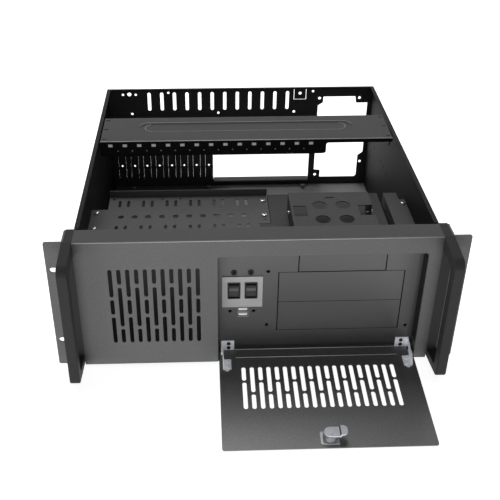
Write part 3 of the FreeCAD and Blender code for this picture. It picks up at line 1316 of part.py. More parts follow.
# ---- rack ears: steel angles round the handle blocks ----
ear_in = EAR_SIDE - EAR_T
ear_tab = prism_y(rect(ear_in, RACK_W / 2, 0, PANEL_H, EAR_CORNER_R), EAR_FRONT, EAR_BACK)
ear_flange = prism_x(rect(EAR_FRONT, BOX_D, 0, PANEL_H, EAR_CORNER_R), EAR_SIDE - EAR_T, EAR_SIDE)
ear = ear_tab.fuse(ear_flange)
ear_cuts = []
for side in (-1, 1):
    z = PANEL_H / 2 + side * EAR_HOLE_SPAN_Z / 2
    x0 = RACK_W / 2 - EAR_HOLE_INSET - EAR_SLOT_L / 2
    z0 = z - EAR_SLOT_W / 2
    points = rect(x0, x0 + EAR_SLOT_L, z0, z0 + EAR_SLOT_W, EAR_SLOT_W / 2)
    ear_cuts.append(prism_y(points, EAR_FRONT - PUNCH, EAR_BACK + PUNCH))
ear = ear.cut(ear_cuts).removeSplitter()
save("rack_ear_right", ear)
save("rack_ear_left", mirrored(ear, 0))

# ---- motherboard posts and feet ----
POST_COLUMNS = (0.0, 124.46, 281.94)
POST_ROWS = (0.0, 154.94, 227.33)
POST_FLOOR = 1.5
FOOT_TAPER = 1.2
posts = []
for dx in POST_COLUMNS:
    for dy in POST_ROWS:
        x = POST_X + dx
        y = POST_Y - dy
        post = rod(x, y, SHEET_T, AZ, POST_R, POST_H)
        posts.append(post.cut(rod(x, y, SHEET_T + POST_FLOOR, AZ, POST_HOLE_R, POST_H)))
save_group("motherboard_posts", posts)

feet = []
for sx in (-1, 1):
    for y in (BOX_D + FOOT_IN_Y, CASE_D - FOOT_IN_Y):
        x = sx * (CASE_HALF - FOOT_IN_X)
        foot = Part.makeCone(FOOT_R - FOOT_TAPER, FOOT_R, FOOT_H, V(x, y, -FOOT_H), AZ)
        feet.append(foot)
save_group("rubber_feet", feet)
print("done")
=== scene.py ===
import bmesh
import bpy
import math
from mathutils import Matrix, Vector


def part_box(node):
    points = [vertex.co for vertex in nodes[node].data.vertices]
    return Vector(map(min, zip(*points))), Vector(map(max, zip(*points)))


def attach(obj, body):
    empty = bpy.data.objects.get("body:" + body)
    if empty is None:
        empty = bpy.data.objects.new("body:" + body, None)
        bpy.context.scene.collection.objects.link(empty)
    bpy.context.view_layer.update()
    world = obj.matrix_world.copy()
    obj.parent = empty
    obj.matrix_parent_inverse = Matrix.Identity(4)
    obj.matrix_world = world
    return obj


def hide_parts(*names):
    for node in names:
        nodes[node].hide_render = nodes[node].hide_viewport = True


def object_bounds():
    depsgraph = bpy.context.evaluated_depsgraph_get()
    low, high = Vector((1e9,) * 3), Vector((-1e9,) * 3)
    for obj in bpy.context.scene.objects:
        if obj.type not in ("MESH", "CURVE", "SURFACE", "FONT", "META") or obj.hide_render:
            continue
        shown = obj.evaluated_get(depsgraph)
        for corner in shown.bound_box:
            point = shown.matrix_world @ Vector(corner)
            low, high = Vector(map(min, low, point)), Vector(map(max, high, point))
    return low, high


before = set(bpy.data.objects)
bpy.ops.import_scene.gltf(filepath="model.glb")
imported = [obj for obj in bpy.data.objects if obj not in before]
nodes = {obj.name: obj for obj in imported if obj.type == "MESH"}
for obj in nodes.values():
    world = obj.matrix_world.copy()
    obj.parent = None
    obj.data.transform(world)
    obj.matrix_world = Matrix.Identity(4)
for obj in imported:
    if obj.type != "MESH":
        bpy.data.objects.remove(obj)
cadLow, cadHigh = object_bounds()
mm = 0.001
print("frame loaded:", len(nodes), "nodes")


# a shader socket that can be added, multiplied and so on like a number
class Term:
    def __init__(self, finish, socket):
        self.finish = finish
        self.socket = socket

    def combine(self, operation, first, second):
        inputs = {0: first, 1: second}
        return self.finish.node("ShaderNodeMath", {"operation": operation}, inputs)

    def __add__(self, other):
        return self.combine("ADD", self, other)

    def __radd__(self, other):
        return self.combine("ADD", other, self)

    def __sub__(self, other):
        return self.combine("SUBTRACT", self, other)

    def __rsub__(self, other):
        return self.combine("SUBTRACT", other, self)

    def __mul__(self, other):
        return self.combine("MULTIPLY", self, other)

    def __rmul__(self, other):
        return self.combine("MULTIPLY", other, self)


# one material and the nodes that make it
class Finish:
    def __init__(self, name):
        self.material = bpy.data.materials.new(name)
        self.material.use_nodes = True
        self.tree = self.material.node_tree
        self.tree.nodes.clear()
        output = self.tree.nodes.new("ShaderNodeOutputMaterial")
        self.shader = self.tree.nodes.new("ShaderNodeBsdfPrincipled")
        self.tree.links.new(self.shader.outputs["BSDF"], output.inputs["Surface"])
        coords = self.tree.nodes.new("ShaderNodeTexCoord")
        self.place = Term(self, coords.outputs["Object"])

    def feed(self, socket, value):
        if isinstance(value, Term):
            self.tree.links.new(value.socket, socket)
        else:
            socket.default_value = value

    def node(self, kind, settings, inputs, out=0):
        made = self.tree.nodes.new(kind)
        for key, value in settings.items():
            if key == "stops":
                for stop, (where, colour) in zip(made.color_ramp.elements, value):
                    stop.position = where
                    stop.color = colour
            else:
                setattr(made, key, value)
        for key, value in inputs.items():
            self.feed(made.inputs[key], value)
        return Term(self, made.outputs[out])

    def noise(self, scale, detail=2.0, stretch=(1, 1, 1)):
        inputs = {0: self.place, 1: stretch}
        spread = self.node("ShaderNodeVectorMath", {"operation": "MULTIPLY"}, inputs)
        inputs = {"Vector": spread, "Scale": scale, "Detail": detail}
        return self.node("ShaderNodeTexNoise", {}, inputs)

    # how far across, back or up a point lies, for axis 0, 1 or 2
    def along(self, axis):
        return self.node("ShaderNodeSeparateXYZ", {}, {0: self.place}, axis)

    # goes from 0 to 1 as the value goes from start to end
    def between(self, value, start, end):
        return self.node("ShaderNodeMapRange", {}, {"Value": value, 1: start, 2: end})

    def ramp(self, value, low, high):
        stops = [(low, (0, 0, 0, 1)), (high, (1, 1, 1, 1))]
        return self.node("ShaderNodeValToRGB", {"stops": stops}, {"Fac": value})

    def mix(self, amount, first, second):
        inputs = {"Factor": amount, 6: first, 7: second}
        return self.node("ShaderNodeMix", {"data_type": "RGBA"}, inputs, out=2)

    # two shades of one grey, given as parts of its level
    def shades(self, amount, level, parts):
        return self.mix(amount, grey(level * parts[0]), grey(level * parts[1]))

    def bump(self, height, distance):
        return self.node("ShaderNodeBump", {}, {"Height": height, "Distance": distance})

    def surface(self, values):
        for key, value in values.items():
            self.feed(self.shader.inputs[key], value)
        return self.material


def grey(level, tint=(1.0, 1.0, 1.0)):
    return (level * tint[0], level * tint[1], level * tint[2], 1.0)


# fine-grained paint baked on sheet steel: large soft patches, grit and a fine grain
powder = {
    "tint": (1.0, 1.0, 1.012),
    "patchScale": 22.0,
    "patchParts": (0.94, 1.06),
    "gritScale": 850.0,
    "gritBand": (0.4, 0.62),
    "gritPart": 1.5,
    "speck": 0.35,  # how strongly the grit shows
    "fineScale": 2600.0,
    "fineBand": (0.52, 0.78),
    "finePart": 1.6,
    "fineShare": 0.3,
    "grain": 0.00007,  # height of the grain in metres
    "roughSpread": 0.1,
}


def powderTone(f, level, speck=powder["speck"]):
    tint = powder["tint"]
    dark, pale = [grey(level * part, tint) for part in powder["patchParts"]]
    fine = f.noise(powder["fineScale"], detail=3.0)
    grit = f.noise(powder["gritScale"])
    patch = f.noise(powder["patchScale"], detail=3.0)
    colour = f.mix(patch, dark, pale)
    gritShare = f.ramp(grit, *powder["gritBand"]) * speck
    colour = f.mix(gritShare, colour, grey(level * powder["gritPart"], tint))
    fineShare = f.ramp(fine, *powder["fineBand"]) * powder["fineShare"]
    return f.mix(fineShare, colour, grey(level * powder["finePart"], tint)), fine


def powderSurface(f, colour, fine, rough, shine, grain=powder["grain"], lacquer=0.0):
    return f.surface({
        "Base Color": colour,
        "Roughness": rough + powder["roughSpread"] * (fine - 0.5),
        "Normal": f.bump(fine, grain),
        "Specular IOR Level": shine,
        "Coat Weight": lacquer,
        "Coat Roughness": rough,
    })


def powderCoat(name, level, rough, shine=0.45, speck=powder["speck"], **more):
    f = Finish(name)
    colour, fine = powderTone(f, level, speck)
    return powderSurface(f, colour, fine, rough, shine, **more)


# the bar's drop is painted darker than its top, a painted shade; places are metres behind its face
barShade = {"start": 0.0011, "end": 0.0016, "rough": 0.55, "shine": 0.2}


def barCoat(name, drop, top):
    f = Finish(name)
    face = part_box("hold_down_bar")[0].y
    dropShadeTone, fine = powderTone(f, drop)
    topTone, _ = powderTone(f, top)
    onTop = f.between(f.along(1), face + barShade["start"], face + barShade["end"])
    colour = f.mix(onTop, dropShadeTone, topTone)
    return powderSurface(f, colour, fine, barShade["rough"], barShade["shine"])


# the panel's deck is painted darker than its face, a painted shade, and the face darkens towards
# both edges beside the handles, a painted shadow; places in metres
panelShade = {
    "start": 0.0008,
    "end": 0.003,
    "edge": 0.014,
    "shadePart": 0.3,
    "shadeShare": 0.8,
    "rough": 0.56,
    "shine": 0.2,
}


def panelCoat(name, face, deck):
    f = Finish(name)
    low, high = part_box("front_panel")
    faceTone, fine = powderTone(f, face)
    deckShadeTone, _ = powderTone(f, deck)
    edgeShadeTone, _ = powderTone(f, face * panelShade["shadePart"])
    across = f.along(0)
    onDeck = f.between(f.along(1), low.y + panelShade["start"], low.y + panelShade["end"])
    nearEdge = f.between(across * across, (high.x - panelShade["edge"]) ** 2, high.x**2)
    shaded = f.mix(nearEdge * nearEdge * panelShade["shadeShare"], faceTone, edgeShadeTone)
    colour = f.mix(onDeck, shaded, deckShadeTone)
    return powderSurface(f, colour, fine, panelShade["rough"], panelShade["shine"])


# the tray's one black paint: darkest on the walls as painted shade, fuller on the floor and
# lightest at its right rear, a painted pool of light; in metres
trayShade = {
    "floorUp": 0.003,
    "fade": 0.001,
    "rear": (0.14, 0.28),
    "right": (-0.06, -0.01),
    "rough": 0.6,
    "shine": 0.1,
}


def trayCoat(name, wall, front, rear):
    f = Finish(name)
    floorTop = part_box("chassis_tray")[0].z + trayShade["floorUp"]
    wallShadeTone, fine = powderTone(f, wall)
    frontTone, _ = powderTone(f, front)
    rearLitTone, _ = powderTone(f, rear)
    onRear = f.between(f.along(1), *trayShade["rear"])
    onRight = f.between(f.along(0), *trayShade["right"])
    onWall = f.between(f.along(2), floorTop, floorTop + trayShade["fade"])
    colour = f.mix(onWall, f.mix(onRear * onRight, frontTone, rearLitTone), wallShadeTone)
    return powderSurface(f, colour, fine, trayShade["rough"], trayShade["shine"])


# sprayed paint on a casting, smoother, with faint flow marks
cast = {
    "flowScale": 60.0,
    "flowStretch": (1.0, 1.0, 0.35),
    "flowParts": (0.93, 1.07),
    "gritScale": 800.0,
    "gritBand": (0.35, 0.7),
    "gritShare": 0.3,
    "gritPart": 1.7,
    "fineScale": 1500.0,
    "grain": 0.00005,
    "roughSpread": 0.08,
}


def castPaint(name, level, rough, shine):
    f = Finish(name)
    flow = f.noise(cast["flowScale"], stretch=cast["flowStretch"])
    gritShare = f.ramp(f.noise(cast["gritScale"]), *cast["gritBand"]) * cast["gritShare"]
    colour = f.shades(flow, level, cast["flowParts"])
    return f.surface({
        "Base Color": f.mix(gritShare, colour, grey(level * cast["gritPart"])),
        "Roughness": rough + cast["roughSpread"] * (flow - 0.5),
        "Normal": f.bump(f.noise(cast["fineScale"]), cast["grain"]),
        "Specular IOR Level": shine,
    })


# zinc plate: pale, a little blue, cloudy and finely brushed, with a painted glow where one is
# given
zinc = {
    "cloudScale": 240.0,
    "darkPart": 0.8,
    "darkTint": (0.95, 1.0, 1.06),
    "palePart": 1.2,
    "paleTint": (0.98, 1.0, 1.04),
    "brushScale": 900.0,
    "brushStretch": (0.15, 1.0, 1.0),
    "grain": 0.00003,
    "roughSpread": 0.18,
}


def zincPlate(name, level, rough, metal, paintedGlow=0.0):
    f = Finish(name)
    brush = f.noise(zinc["brushScale"], stretch=zinc["brushStretch"])
    dark = grey(level * zinc["darkPart"], zinc["darkTint"])
    pale = grey(level * zinc["palePart"], zinc["paleTint"])
    colour = f.mix(f.noise(zinc["cloudScale"], detail=3.0), dark, pale)
    return f.surface({
        "Base Color": colour,
        "Metallic": metal,
        "Roughness": rough + zinc["roughSpread"] * (brush - 0.5),
        "Normal": f.bump(brush, zinc["grain"]),
        "Emission Color": colour,
        "Emission Strength": paintedGlow,
    })


# bright plate with a faint haze
bright = {"hazeScale": 300.0, "parts": (0.92, 1.0), "roughSpread": 0.08}


def brightPlate(name, level, rough, metal):
    f = Finish(name)
    haze = f.noise(bright["hazeScale"])
    return f.surface({
        "Base Color": f.shades(haze, level, bright["parts"]),
        "Metallic": metal,
        "Roughness": rough + bright["roughSpread"] * haze,
    })


# moulded plastic with a fine grain
moulded = {
    "cloudScale": 45.0,
    "parts": (0.95, 1.05),
    "fineScale": 1800.0,
    "grain": 0.00004,
    "roughSpread": 0.06,
}


def mouldedPlastic(name, level, rough, shine=0.5):
    f = Finish(name)
    fine = f.noise(moulded["fineScale"])
    return f.surface({
        "Base Color": f.shades(f.noise(moulded["cloudScale"]), level, moulded["parts"]),
        "Roughness": rough + moulded["roughSpread"] * (fine - 0.5),
        "Normal": f.bump(fine, moulded["grain"]),
        "Specular IOR Level": shine,
    })


# rocker key: a paler band above the middle of the flat that leans out, painted light where that
# flat faces the light
paintedLitBand = {
    "below": 0.0005,
    "wide": 0.0045,
    "footFade": 0.0003,
    "topFade": 0.0005,
    "parts": (0.9, 1.1),
    "grain": 0.00003,
    "rough": 0.32,
    "roughSpread": 0.08,
    "shine": 0.3,
}


def keyPlastic(name, level, litLevel):
    f = Finish(name)
    fine = f.noise(moulded["fineScale"])
    up = f.along(2)
    foot = sum(corner.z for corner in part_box("power_rocker")) / 2 - paintedLitBand["below"]
    top = foot + paintedLitBand["wide"]
    aboveFoot = f.between(up, foot - paintedLitBand["footFade"], foot + paintedLitBand["footFade"])
    aboveTop = f.between(up, top - paintedLitBand["topFade"], top + paintedLitBand["topFade"])
    litTone = f.shades(fine, litLevel, paintedLitBand["parts"])
    return f.surface({
        "Base Color": f.mix(aboveFoot * (1 - aboveTop), grey(level), litTone),
        "Roughness": paintedLitBand["rough"] + paintedLitBand["roughSpread"] * (fine - 0.5),
        "Normal": f.bump(fine, paintedLitBand["grain"]),
        "Specular IOR Level": paintedLitBand["shine"],
    })


# pale nylon, with a painted glow that makes it look lit
nylon = {"cloudScale": 180.0, "parts": (0.9, 1.0), "rough": 0.45, "roughSpread": 0.1}


def paleNylon(name, level, paintedGlow):
    f = Finish(name)
    cloud = f.noise(nylon["cloudScale"])
    colour = f.shades(cloud, level, nylon["parts"])
    return f.surface({
        "Base Color": colour,
        "Roughness": nylon["rough"] + nylon["roughSpread"] * cloud,
        "Emission Color": colour,
        "Emission Strength": paintedGlow,
    })


# dull turned metal with fine tool rings
toolRings = {"scale": 1400.0, "stretch": (0.2, 0.2, 1.0), "rough": 0.3, "roughSpread": 0.15}


def turnedMetal(name, dark, pale, metal):
    f = Finish(name)
    rings = f.noise(toolRings["scale"], detail=1.0, stretch=toolRings["stretch"])
    return f.surface({
        "Base Color": f.mix(rings, dark, pale),
        "Metallic": metal,
        "Roughness": toolRings["rough"] + toolRings["roughSpread"] * rings,
    })


# matt black foam, put in gaps and holes as painted shade, and rubber
shadeFoamLook = {
    "scale": 1100.0,
    "detail": 3.0,
    "levels": (0.002, 0.008),
    "rough": 0.9,
    "roughSpread": 0.08,
    "grain": 0.0001,
    "shine": 0.05,
}
rubber = {
    "scale": 900.0,
    "detail": 4.0,
    "levels": (0.012, 0.03),
    "rough": 0.75,
    "roughSpread": 0.1,
    "grain": 0.0001,
    "shine": 0.5,
}


def mattBlack(name, look):
    f = Finish(name)
    pores = f.noise(look["scale"], look["detail"])
    return f.surface({
        "Base Color": f.shades(pores, 1.0, look["levels"]),
        "Roughness": look["rough"] + look["roughSpread"] * (pores - 0.5),
        "Normal": f.bump(pores, look["grain"]),
        "Specular IOR Level": look["shine"],
    })


# lens of an unlit lamp: dark clear plastic
lens = {
    "scale": 350.0,
    "dark": (0.004, 0.005, 0.004, 1),
    "pale": (0.012, 0.014, 0.012, 1),
    "rough": 0.12,
    "roughSpread": 0.05,
    "shine": 0.2,
}


def clearLens(name):
    f = Finish(name)
    depth = f.noise(lens["scale"], detail=1.0)
    return f.surface({
        "Base Color": f.mix(depth, lens["dark"], lens["pale"]),
        "Roughness": lens["rough"] + lens["roughSpread"] * depth,
        "Specular IOR Level": lens["shine"],
    })


# how light each finish is, from 0 to 1
tone = {
    "panel": 0.15,
    # the deck, painted darker than the face as shade
    "deck": 0.072,
    "floor": 0.08,
    # the tray's floor lighter at the rear as painted light, its walls darker as painted shade
    "floorRearLit": 0.27,
    "wall": 0.015,
    "rear": 0.055,
    "door": 0.095,
    "bay": 0.025,
    "cover": 0.028,
    "bar": 0.047,
    # the bar's drop, painted darker as shade
    "barDropShade": 0.02,
    "shelf": 0.095,
    "cage": 0.068,
    "handle": 0.041,
    # pale lines on the bends and the door's hem, painted highlights
    "edge": 0.75,
    # the trough's rims, a painted highlight, and its slope, painted light over shade
    "bead": 0.45,
    "slope": 0.12,
    # the bar's pips, a painted highlight
    "seam": 0.8,
    "plate": 0.5,
    "bezel": 0.035,
    "lamp": 0.008,
    "rocker": 0.048,
    # the rocker's paler band, painted light
    "rockerLit": 0.15,
    # the recess lining, a painted shade
    "liningShade": 0.03,
    "tongue": 0.9,
    "pad": 0.8,
    "hinge": 0.9,
    "cam": 0.8,
    "lock": 0.35,
    "blackSteel": 0.06,
    "screw": 0.85,
    "lockChrome": 0.9,
    "port": 0.35,
}
postColours = ((0.2, 0.195, 0.18, 1), (0.34, 0.33, 0.3, 1))
goldColours = ((0.6, 0.42, 0.16, 1), (0.75, 0.56, 0.25, 1))

panelPaint = panelCoat("panelPaint", tone["panel"], tone["deck"])
trayPaint = trayCoat("trayPaint", tone["wall"], tone["floor"], tone["floorRearLit"])
barPaint = barCoat("barPaint", tone["barDropShade"], tone["bar"])
earPaint = powderCoat("earPaint", tone["panel"], rough=0.56, shine=0.2)
insidePaint = powderCoat("insidePaint", tone["rear"], rough=0.6, shine=0.25)
doorPaint = powderCoat("doorPaint", tone["door"], 0.34, 1.0, 0.9, grain=0.00014, lacquer=0.6)
bayPaint = powderCoat("bayPaint", tone["bay"], 0.42, 1.0, 0.8, grain=0.00012, lacquer=0.9)
coverPaint = powderCoat("coverPaint", tone["cover"], rough=0.42, shine=1.0, lacquer=0.8)
shelfPaint = powderCoat("shelfPaint", tone["shelf"], rough=0.55, shine=0.25)
cagePaint = powderCoat("cagePaint", tone["cage"], rough=0.58, shine=0.15)
edgeHighlightPaint = powderCoat("edgeHighlightPaint", tone["edge"], rough=0.4)
hemHighlightPaint = powderCoat("hemHighlightPaint", tone["edge"], 0.3, 1.0, 0.2, grain=0.00004, lacquer=1.0)
rimHighlightPaint = powderCoat("rimHighlightPaint", tone["bead"], rough=0.45)
slopeLitPaint = powderCoat("slopeLitPaint", tone["slope"], rough=0.6, shine=0.25)
seamPaint = powderCoat("seamPaint", tone["seam"], rough=0.6)
handlePaint = castPaint("handlePaint", tone["handle"], rough=0.55, shine=0.07)
# the hinge zinc glows a little, painted light
glowingHingeZinc = zincPlate("glowingHingeZinc", tone["hinge"], rough=0.4, metal=0.0, paintedGlow=0.13)
camZinc = zincPlate("camZinc", tone["cam"], rough=0.4, metal=0.0)
lockSteel = zincPlate("lockSteel", tone["lock"], rough=0.3, metal=0.6)
blackSteel = zincPlate("blackSteel", tone["blackSteel"], rough=0.4, metal=0.8)
screwChrome = brightPlate("screwChrome", tone["screw"], rough=0.15, metal=0.8)
lockChrome = brightPlate("lockChrome", tone["lockChrome"], rough=0.14, metal=0.6)
portShell = brightPlate("portShell", tone["port"], rough=0.2, metal=0.3)
platePlastic = mouldedPlastic("platePlastic", tone["plate"], rough=0.4)
bezelPlastic = mouldedPlastic("bezelPlastic", tone["bezel"], rough=0.4, shine=0.2)
lampPlastic = mouldedPlastic("lampPlastic", tone["lamp"], rough=0.45, shine=0.1)
recessShadeLining = mouldedPlastic("recessShadeLining", tone["liningShade"], rough=0.7, shine=0.1)
rockerPlastic = keyPlastic("rockerPlastic", tone["rocker"], tone["rockerLit"])
# the port's tongues and the bar's pads glow a little, painted light
tonguePlastic = paleNylon("tonguePlastic", tone["tongue"], paintedGlow=0.35)
padNylon = paleNylon("padNylon", tone["pad"], paintedGlow=0.22)
postMetal = turnedMetal("postMetal", *postColours, metal=0.4)
contactGold = turnedMetal("contactGold", *goldColours, metal=1.0)
paintedShadeFoam = mattBlack("paintedShadeFoam", shadeFoamLook)
footRubber = mattBlack("footRubber", rubber)
lampLens = clearLens("lampLens")

coats = {
    panelPaint: ["front_panel"],
    earPaint: ["rack_ear_left", "rack_ear_right"],
    insidePaint: ["rear_panel", "card_ledge", "bar_ledges"],
    trayPaint: ["chassis_tray"],
    doorPaint: ["door"],
    bayPaint: ["bay_panel"],
    coverPaint: ["bay_cover_lower", "bay_cover_upper", "bay_cover_small"],
    barPaint: ["hold_down_bar"],
    shelfPaint: ["left_drive_shelf", "right_shelf_bracket"],
    cagePaint: ["drive_cage_large", "drive_cage_small"],
    handlePaint: ["handle_left", "handle_right"],
    glowingHingeZinc: [
        "hinge_bracket_left",
        "hinge_bracket_right",
        "hinge_leaf_left",
        "hinge_leaf_right",
        "hinge_leaf_rivets",
    ],
    blackSteel: ["hinge_bracket_rivets", "hinge_pins", "handle_bolts"],
    screwChrome: ["cage_screws", "shelf_screws"],
    lockChrome: ["lock_clip", "lock_plug"],
    lockSteel: ["lock_barrel"],
    camZinc: ["lock_cam", "lock_cam_bolt"],
    platePlastic: ["switch_plate"],
    bezelPlastic: ["power_bezel", "reset_bezel", "led_holders"],
    rockerPlastic: ["power_rocker", "reset_rocker"],
    lampLens: ["led_lamps"],
    portShell: ["usb_port"],
    tonguePlastic: ["usb_port_tongues"],
    postMetal: ["motherboard_posts"],
    footRubber: ["rubber_feet"],
}
for coat, names in coats.items():
    for name in names:
        for place in nodes[name].material_slots:
            place.material = coat
print("finishes set on", sum(len(names) for names in coats.values()), "nodes")

# places are millimetres on the case: across, back from the panel face, up from the underside
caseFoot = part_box("front_panel")[0]


def spot(x, y, z):
    return Vector((x * mm, caseFoot.y + y * mm, caseFoot.z + z * mm))


# places on the door are given as it stands shut, and swung down with it here
doorSwing = {"back": 5.2, "up": 10.5, "angle": math.radians(94.6)}


def doorSpot(x, y, z):
    back = y - doorSwing["back"]
    up = z - doorSwing["up"]
    sine = math.sin(doorSwing["angle"])
    cosine = math.cos(doorSwing["angle"])
    swungBack = doorSwing["back"] + back * cosine - up * sine
    swungUp = doorSwing["up"] + back * sine + up * cosine
    return spot(x, swungBack, swungUp)


acrossWay = Vector((1, 0, 0))
frontWay = Vector((0, -1, 0))
upWay = Vector((0, 0, 1))
doorOut = (doorSpot(0, 1, 0) - doorSpot(0, 0, 0)).normalized()


# carries a small section, given as (side, up), along a line
def sweep(mesh, line, up, section, closed=False):
    count = len(line)
    rings = []
    for i, point in enumerate(line):
        before = line[i - 1] if closed or i else point
        after = line[(i + 1) % count] if closed or i < count - 1 else point
        side = (after - before).normalized().cross(up).normalized()
        rings.append([mesh.verts.new(point + (side * u + up * v) * mm) for u, v in section])
    size = len(section)
    for i in range(count if closed else count - 1):
        first = rings[i]
        second = rings[(i + 1) % count]
        for k in range(size):
            after = (k + 1) % size
            mesh.faces.new((first[k], first[after], second[after], second[k]))
    if not closed:
        mesh.faces.new(rings[0])
        mesh.faces.new(list(reversed(rings[-1])))


# turns a profile, given as (radius, height), round an axis
def turned(mesh, centre, axis, profile, around):
    first = axis.orthogonal().normalized()
    second = axis.cross(first)
    rings = []
    for radius, height in profile:
        middlePoint = centre + axis * height * mm
        if radius == 0:
            rings.append([mesh.verts.new(middlePoint)])
            continue
        ring = []
        for k in range(around):
            turn = 2 * math.pi * k / around
            outward = first * math.cos(turn) + second * math.sin(turn)
            ring.append(mesh.verts.new(middlePoint + outward * radius * mm))
        rings.append(ring)
    for low, high in zip(rings, rings[1:]):
        for k in range(around):
            after = (k + 1) % around
            corners = [
                low[k % len(low)],
                low[after % len(low)],
                high[after % len(high)],
                high[k % len(high)],
            ]
            mesh.faces.new(list(dict.fromkeys(corners)))  # a pole gives a triangle


# points on part of a circle, with the angles in degrees
def arc(x, y, radius, start, end, steps):
    points = []
    for k in range(steps + 1):
        turn = math.radians(start + (end - start) * k / steps)
        points.append((x + radius * math.cos(turn), y + radius * math.sin(turn)))
    return points


# an arc that lies flat in the case
def flatArc(x, y, z, radius, start, end):
    points = arc(x, y, radius, start, end, steps=10)
    return [spot(across, back, z) for across, back in points]


# section of a half-round bead
def halfRound(radius):
    return arc(0, 0, radius, 0, 180, steps=6)


# section of a flat strip, sunk a little under its line
def strip(wide, proud, sunk=0.0):
    return [(-wide / 2, -sunk), (wide / 2, -sunk), (wide / 2, proud), (-wide / 2, proud)]


# profile of a low dome, up to its pole
def domeProfile(radius, height):
    points = []
    steps = 5
    for k in range(steps):
        turn = math.pi / 2 * k / steps
        points.append((radius * math.cos(turn), height * math.sin(turn)))
    return points + [(0, height)]


def settle(mesh, name, coat, body, soft=True):
    bmesh.ops.recalc_face_normals(mesh, faces=mesh.faces)
    data = bpy.data.meshes.new(name)
    mesh.to_mesh(data)
    mesh.free()
    data.materials.append(coat)
    for face in data.polygons:
        face.use_smooth = soft
    piece = bpy.data.objects.new(name, data)
    bpy.context.scene.collection.objects.link(piece)
    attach(piece, body)
    return piece


# pale pads behind the windows of the hold-down bar, with a painted glow
barPads = {
    "first": -189.4,
    "pitch": 19.9,
    "count": 15,
    "wide": 7.0,
    "foot": 165.7,
    "tall": 5.7,
    "back": 258.1,
    "thick": 1.0,
    "bevel": 0.3,
}


def makeBarPads():
    mesh = bmesh.new()
    bevel = barPads["bevel"]
    thick = barPads["thick"]
    reach = barPads["wide"] / 2 - bevel
    rise = barPads["tall"] / 2
    section = [(-rise, -bevel), (bevel - rise, 0), (rise - bevel, 0), (rise, -bevel)]
    section += [(rise, -thick), (-rise, -thick)]
    for i in range(barPads["count"]):
        x = barPads["first"] + barPads["pitch"] * i
        up = barPads["foot"] + rise
        line = [spot(x - reach, barPads["back"], up), spot(x + reach, barPads["back"], up)]
        sweep(mesh, line, frontWay, section)
    settle(mesh, "bar_pads", padNylon, "chassis", soft=False)


# small pressed pips between the windows, in pale paint as a painted highlight
barPips = {"first": -179.4, "count": 14, "up": 160.6, "radius": 1.0, "proud": 0.4, "face": 257.0}


def makeBarPips():
    mesh = bmesh.new()
    profile = domeProfile(barPips["radius"], barPips["proud"])
    for i in range(barPips["count"]):
        centre = spot(barPips["first"] + barPads["pitch"] * i, barPips["face"], barPips["up"])
        turned(mesh, centre, frontWay, profile, around=16)
    settle(mesh, "bar_pips", seamPaint, "chassis")


# rolled rims of the long trough pressed into the bar, in pale paint as a painted highlight, and a
# lighter strip over the slope between them, painted light over its shade
trough = {
    "half": 153.4,
    "front": 286.5,
    "back": 316.5,
    "top": 175.0,
    "bead": 0.45,
    "rimEnd": 20,  # degrees left out at each end of a rim
    "slope": 1.6,
    "slopeEnd": 10,
    "slopeSection": ((0.3, -0.2), (0.3, 0.06), (-0.1, 0.06), (-1.1, -1.0), (0.3, -1.0)),
    "step": 3.0,
    "inset": 10.0,
    "deep": 1.0,
}


def makeTroughRims():
    mesh = bmesh.new()
    radius = (trough["back"] - trough["front"]) / 2
    middleBack = trough["front"] + radius
    top = trough["top"]
    reach = trough["half"] - radius
    rimEnd = trough["rimEnd"]
    outer = flatArc(reach, middleBack, top, radius, rimEnd, 90)
    outer += flatArc(-reach, middleBack, top, radius, 90, 180 - rimEnd)
    sweep(mesh, outer, upWay, halfRound(trough["bead"]))
    wall = radius - trough["slope"]
    slopeEnd = trough["slopeEnd"]
    cover = flatArc(reach, middleBack, top, wall, slopeEnd, 90)
    cover += flatArc(-reach, middleBack, top, wall, 90, 180 - slopeEnd)
    slope = bmesh.new()
    sweep(slope, cover, upWay, trough["slopeSection"])
    small = radius - trough["step"]
    reach = trough["half"] - trough["inset"] - small
    floorUp = top - trough["deep"]
    inner = flatArc(-reach, middleBack, floorUp, small, 90 + rimEnd, 270)
    inner += flatArc(reach, middleBack, floorUp, small, 270, 450 - rimEnd)
    sweep(mesh, inner, upWay, halfRound(trough["bead"]))
    settle(mesh, "bar_trough_rims", rimHighlightPaint, "chassis")
    settle(slope, "bar_trough_slope", slopeLitPaint, "chassis", soft=False)


# pale lines over the bar's bend and the deck's rounded one, a painted highlight
bends = {
    "bar": {"node": "hold_down_bar", "round": 0.0, "sunk": 0.2, "bead": 0.6},
    "deck": {"node": "front_panel", "round": 1.6, "sunk": 0.32, "bead": 0.45},
}


def bendLine(mesh, bend):
    low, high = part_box(bend["node"])
    tilt = (frontWay + upWay).normalized()
    inset = bend["round"] * (1 - math.sqrt(0.5)) * mm
    ends = [Vector((x, low.y + inset, high.z - inset)) for x in (low.x, high.x)]
    line = [end - tilt * bend["sunk"] * mm for end in ends]
    sweep(mesh, line, tilt, halfRound(bend["bead"]))


def makeBends():
    mesh = bmesh.new()
    bendLine(mesh, bends["bar"])
    settle(mesh, "bar_bend_highlight", edgeHighlightPaint, "chassis")
    mesh = bmesh.new()
    bendLine(mesh, bends["deck"])
    settle(mesh, "deck_bend_highlight", edgeHighlightPaint, "chassis")


# the bar's drop runs a little past its step, and its short drop is a little deeper
barStep = {
    "fromEnd": 96.0,
    "past": 3.7,
    "overlap": 8.0,
    "endGap": 0.3,
    "foot": 153.0,
    "short": 169.1,
    "top": 172.5,
    "corner": 3.0,
    "front": 257.15,
    "back": 257.85,
}


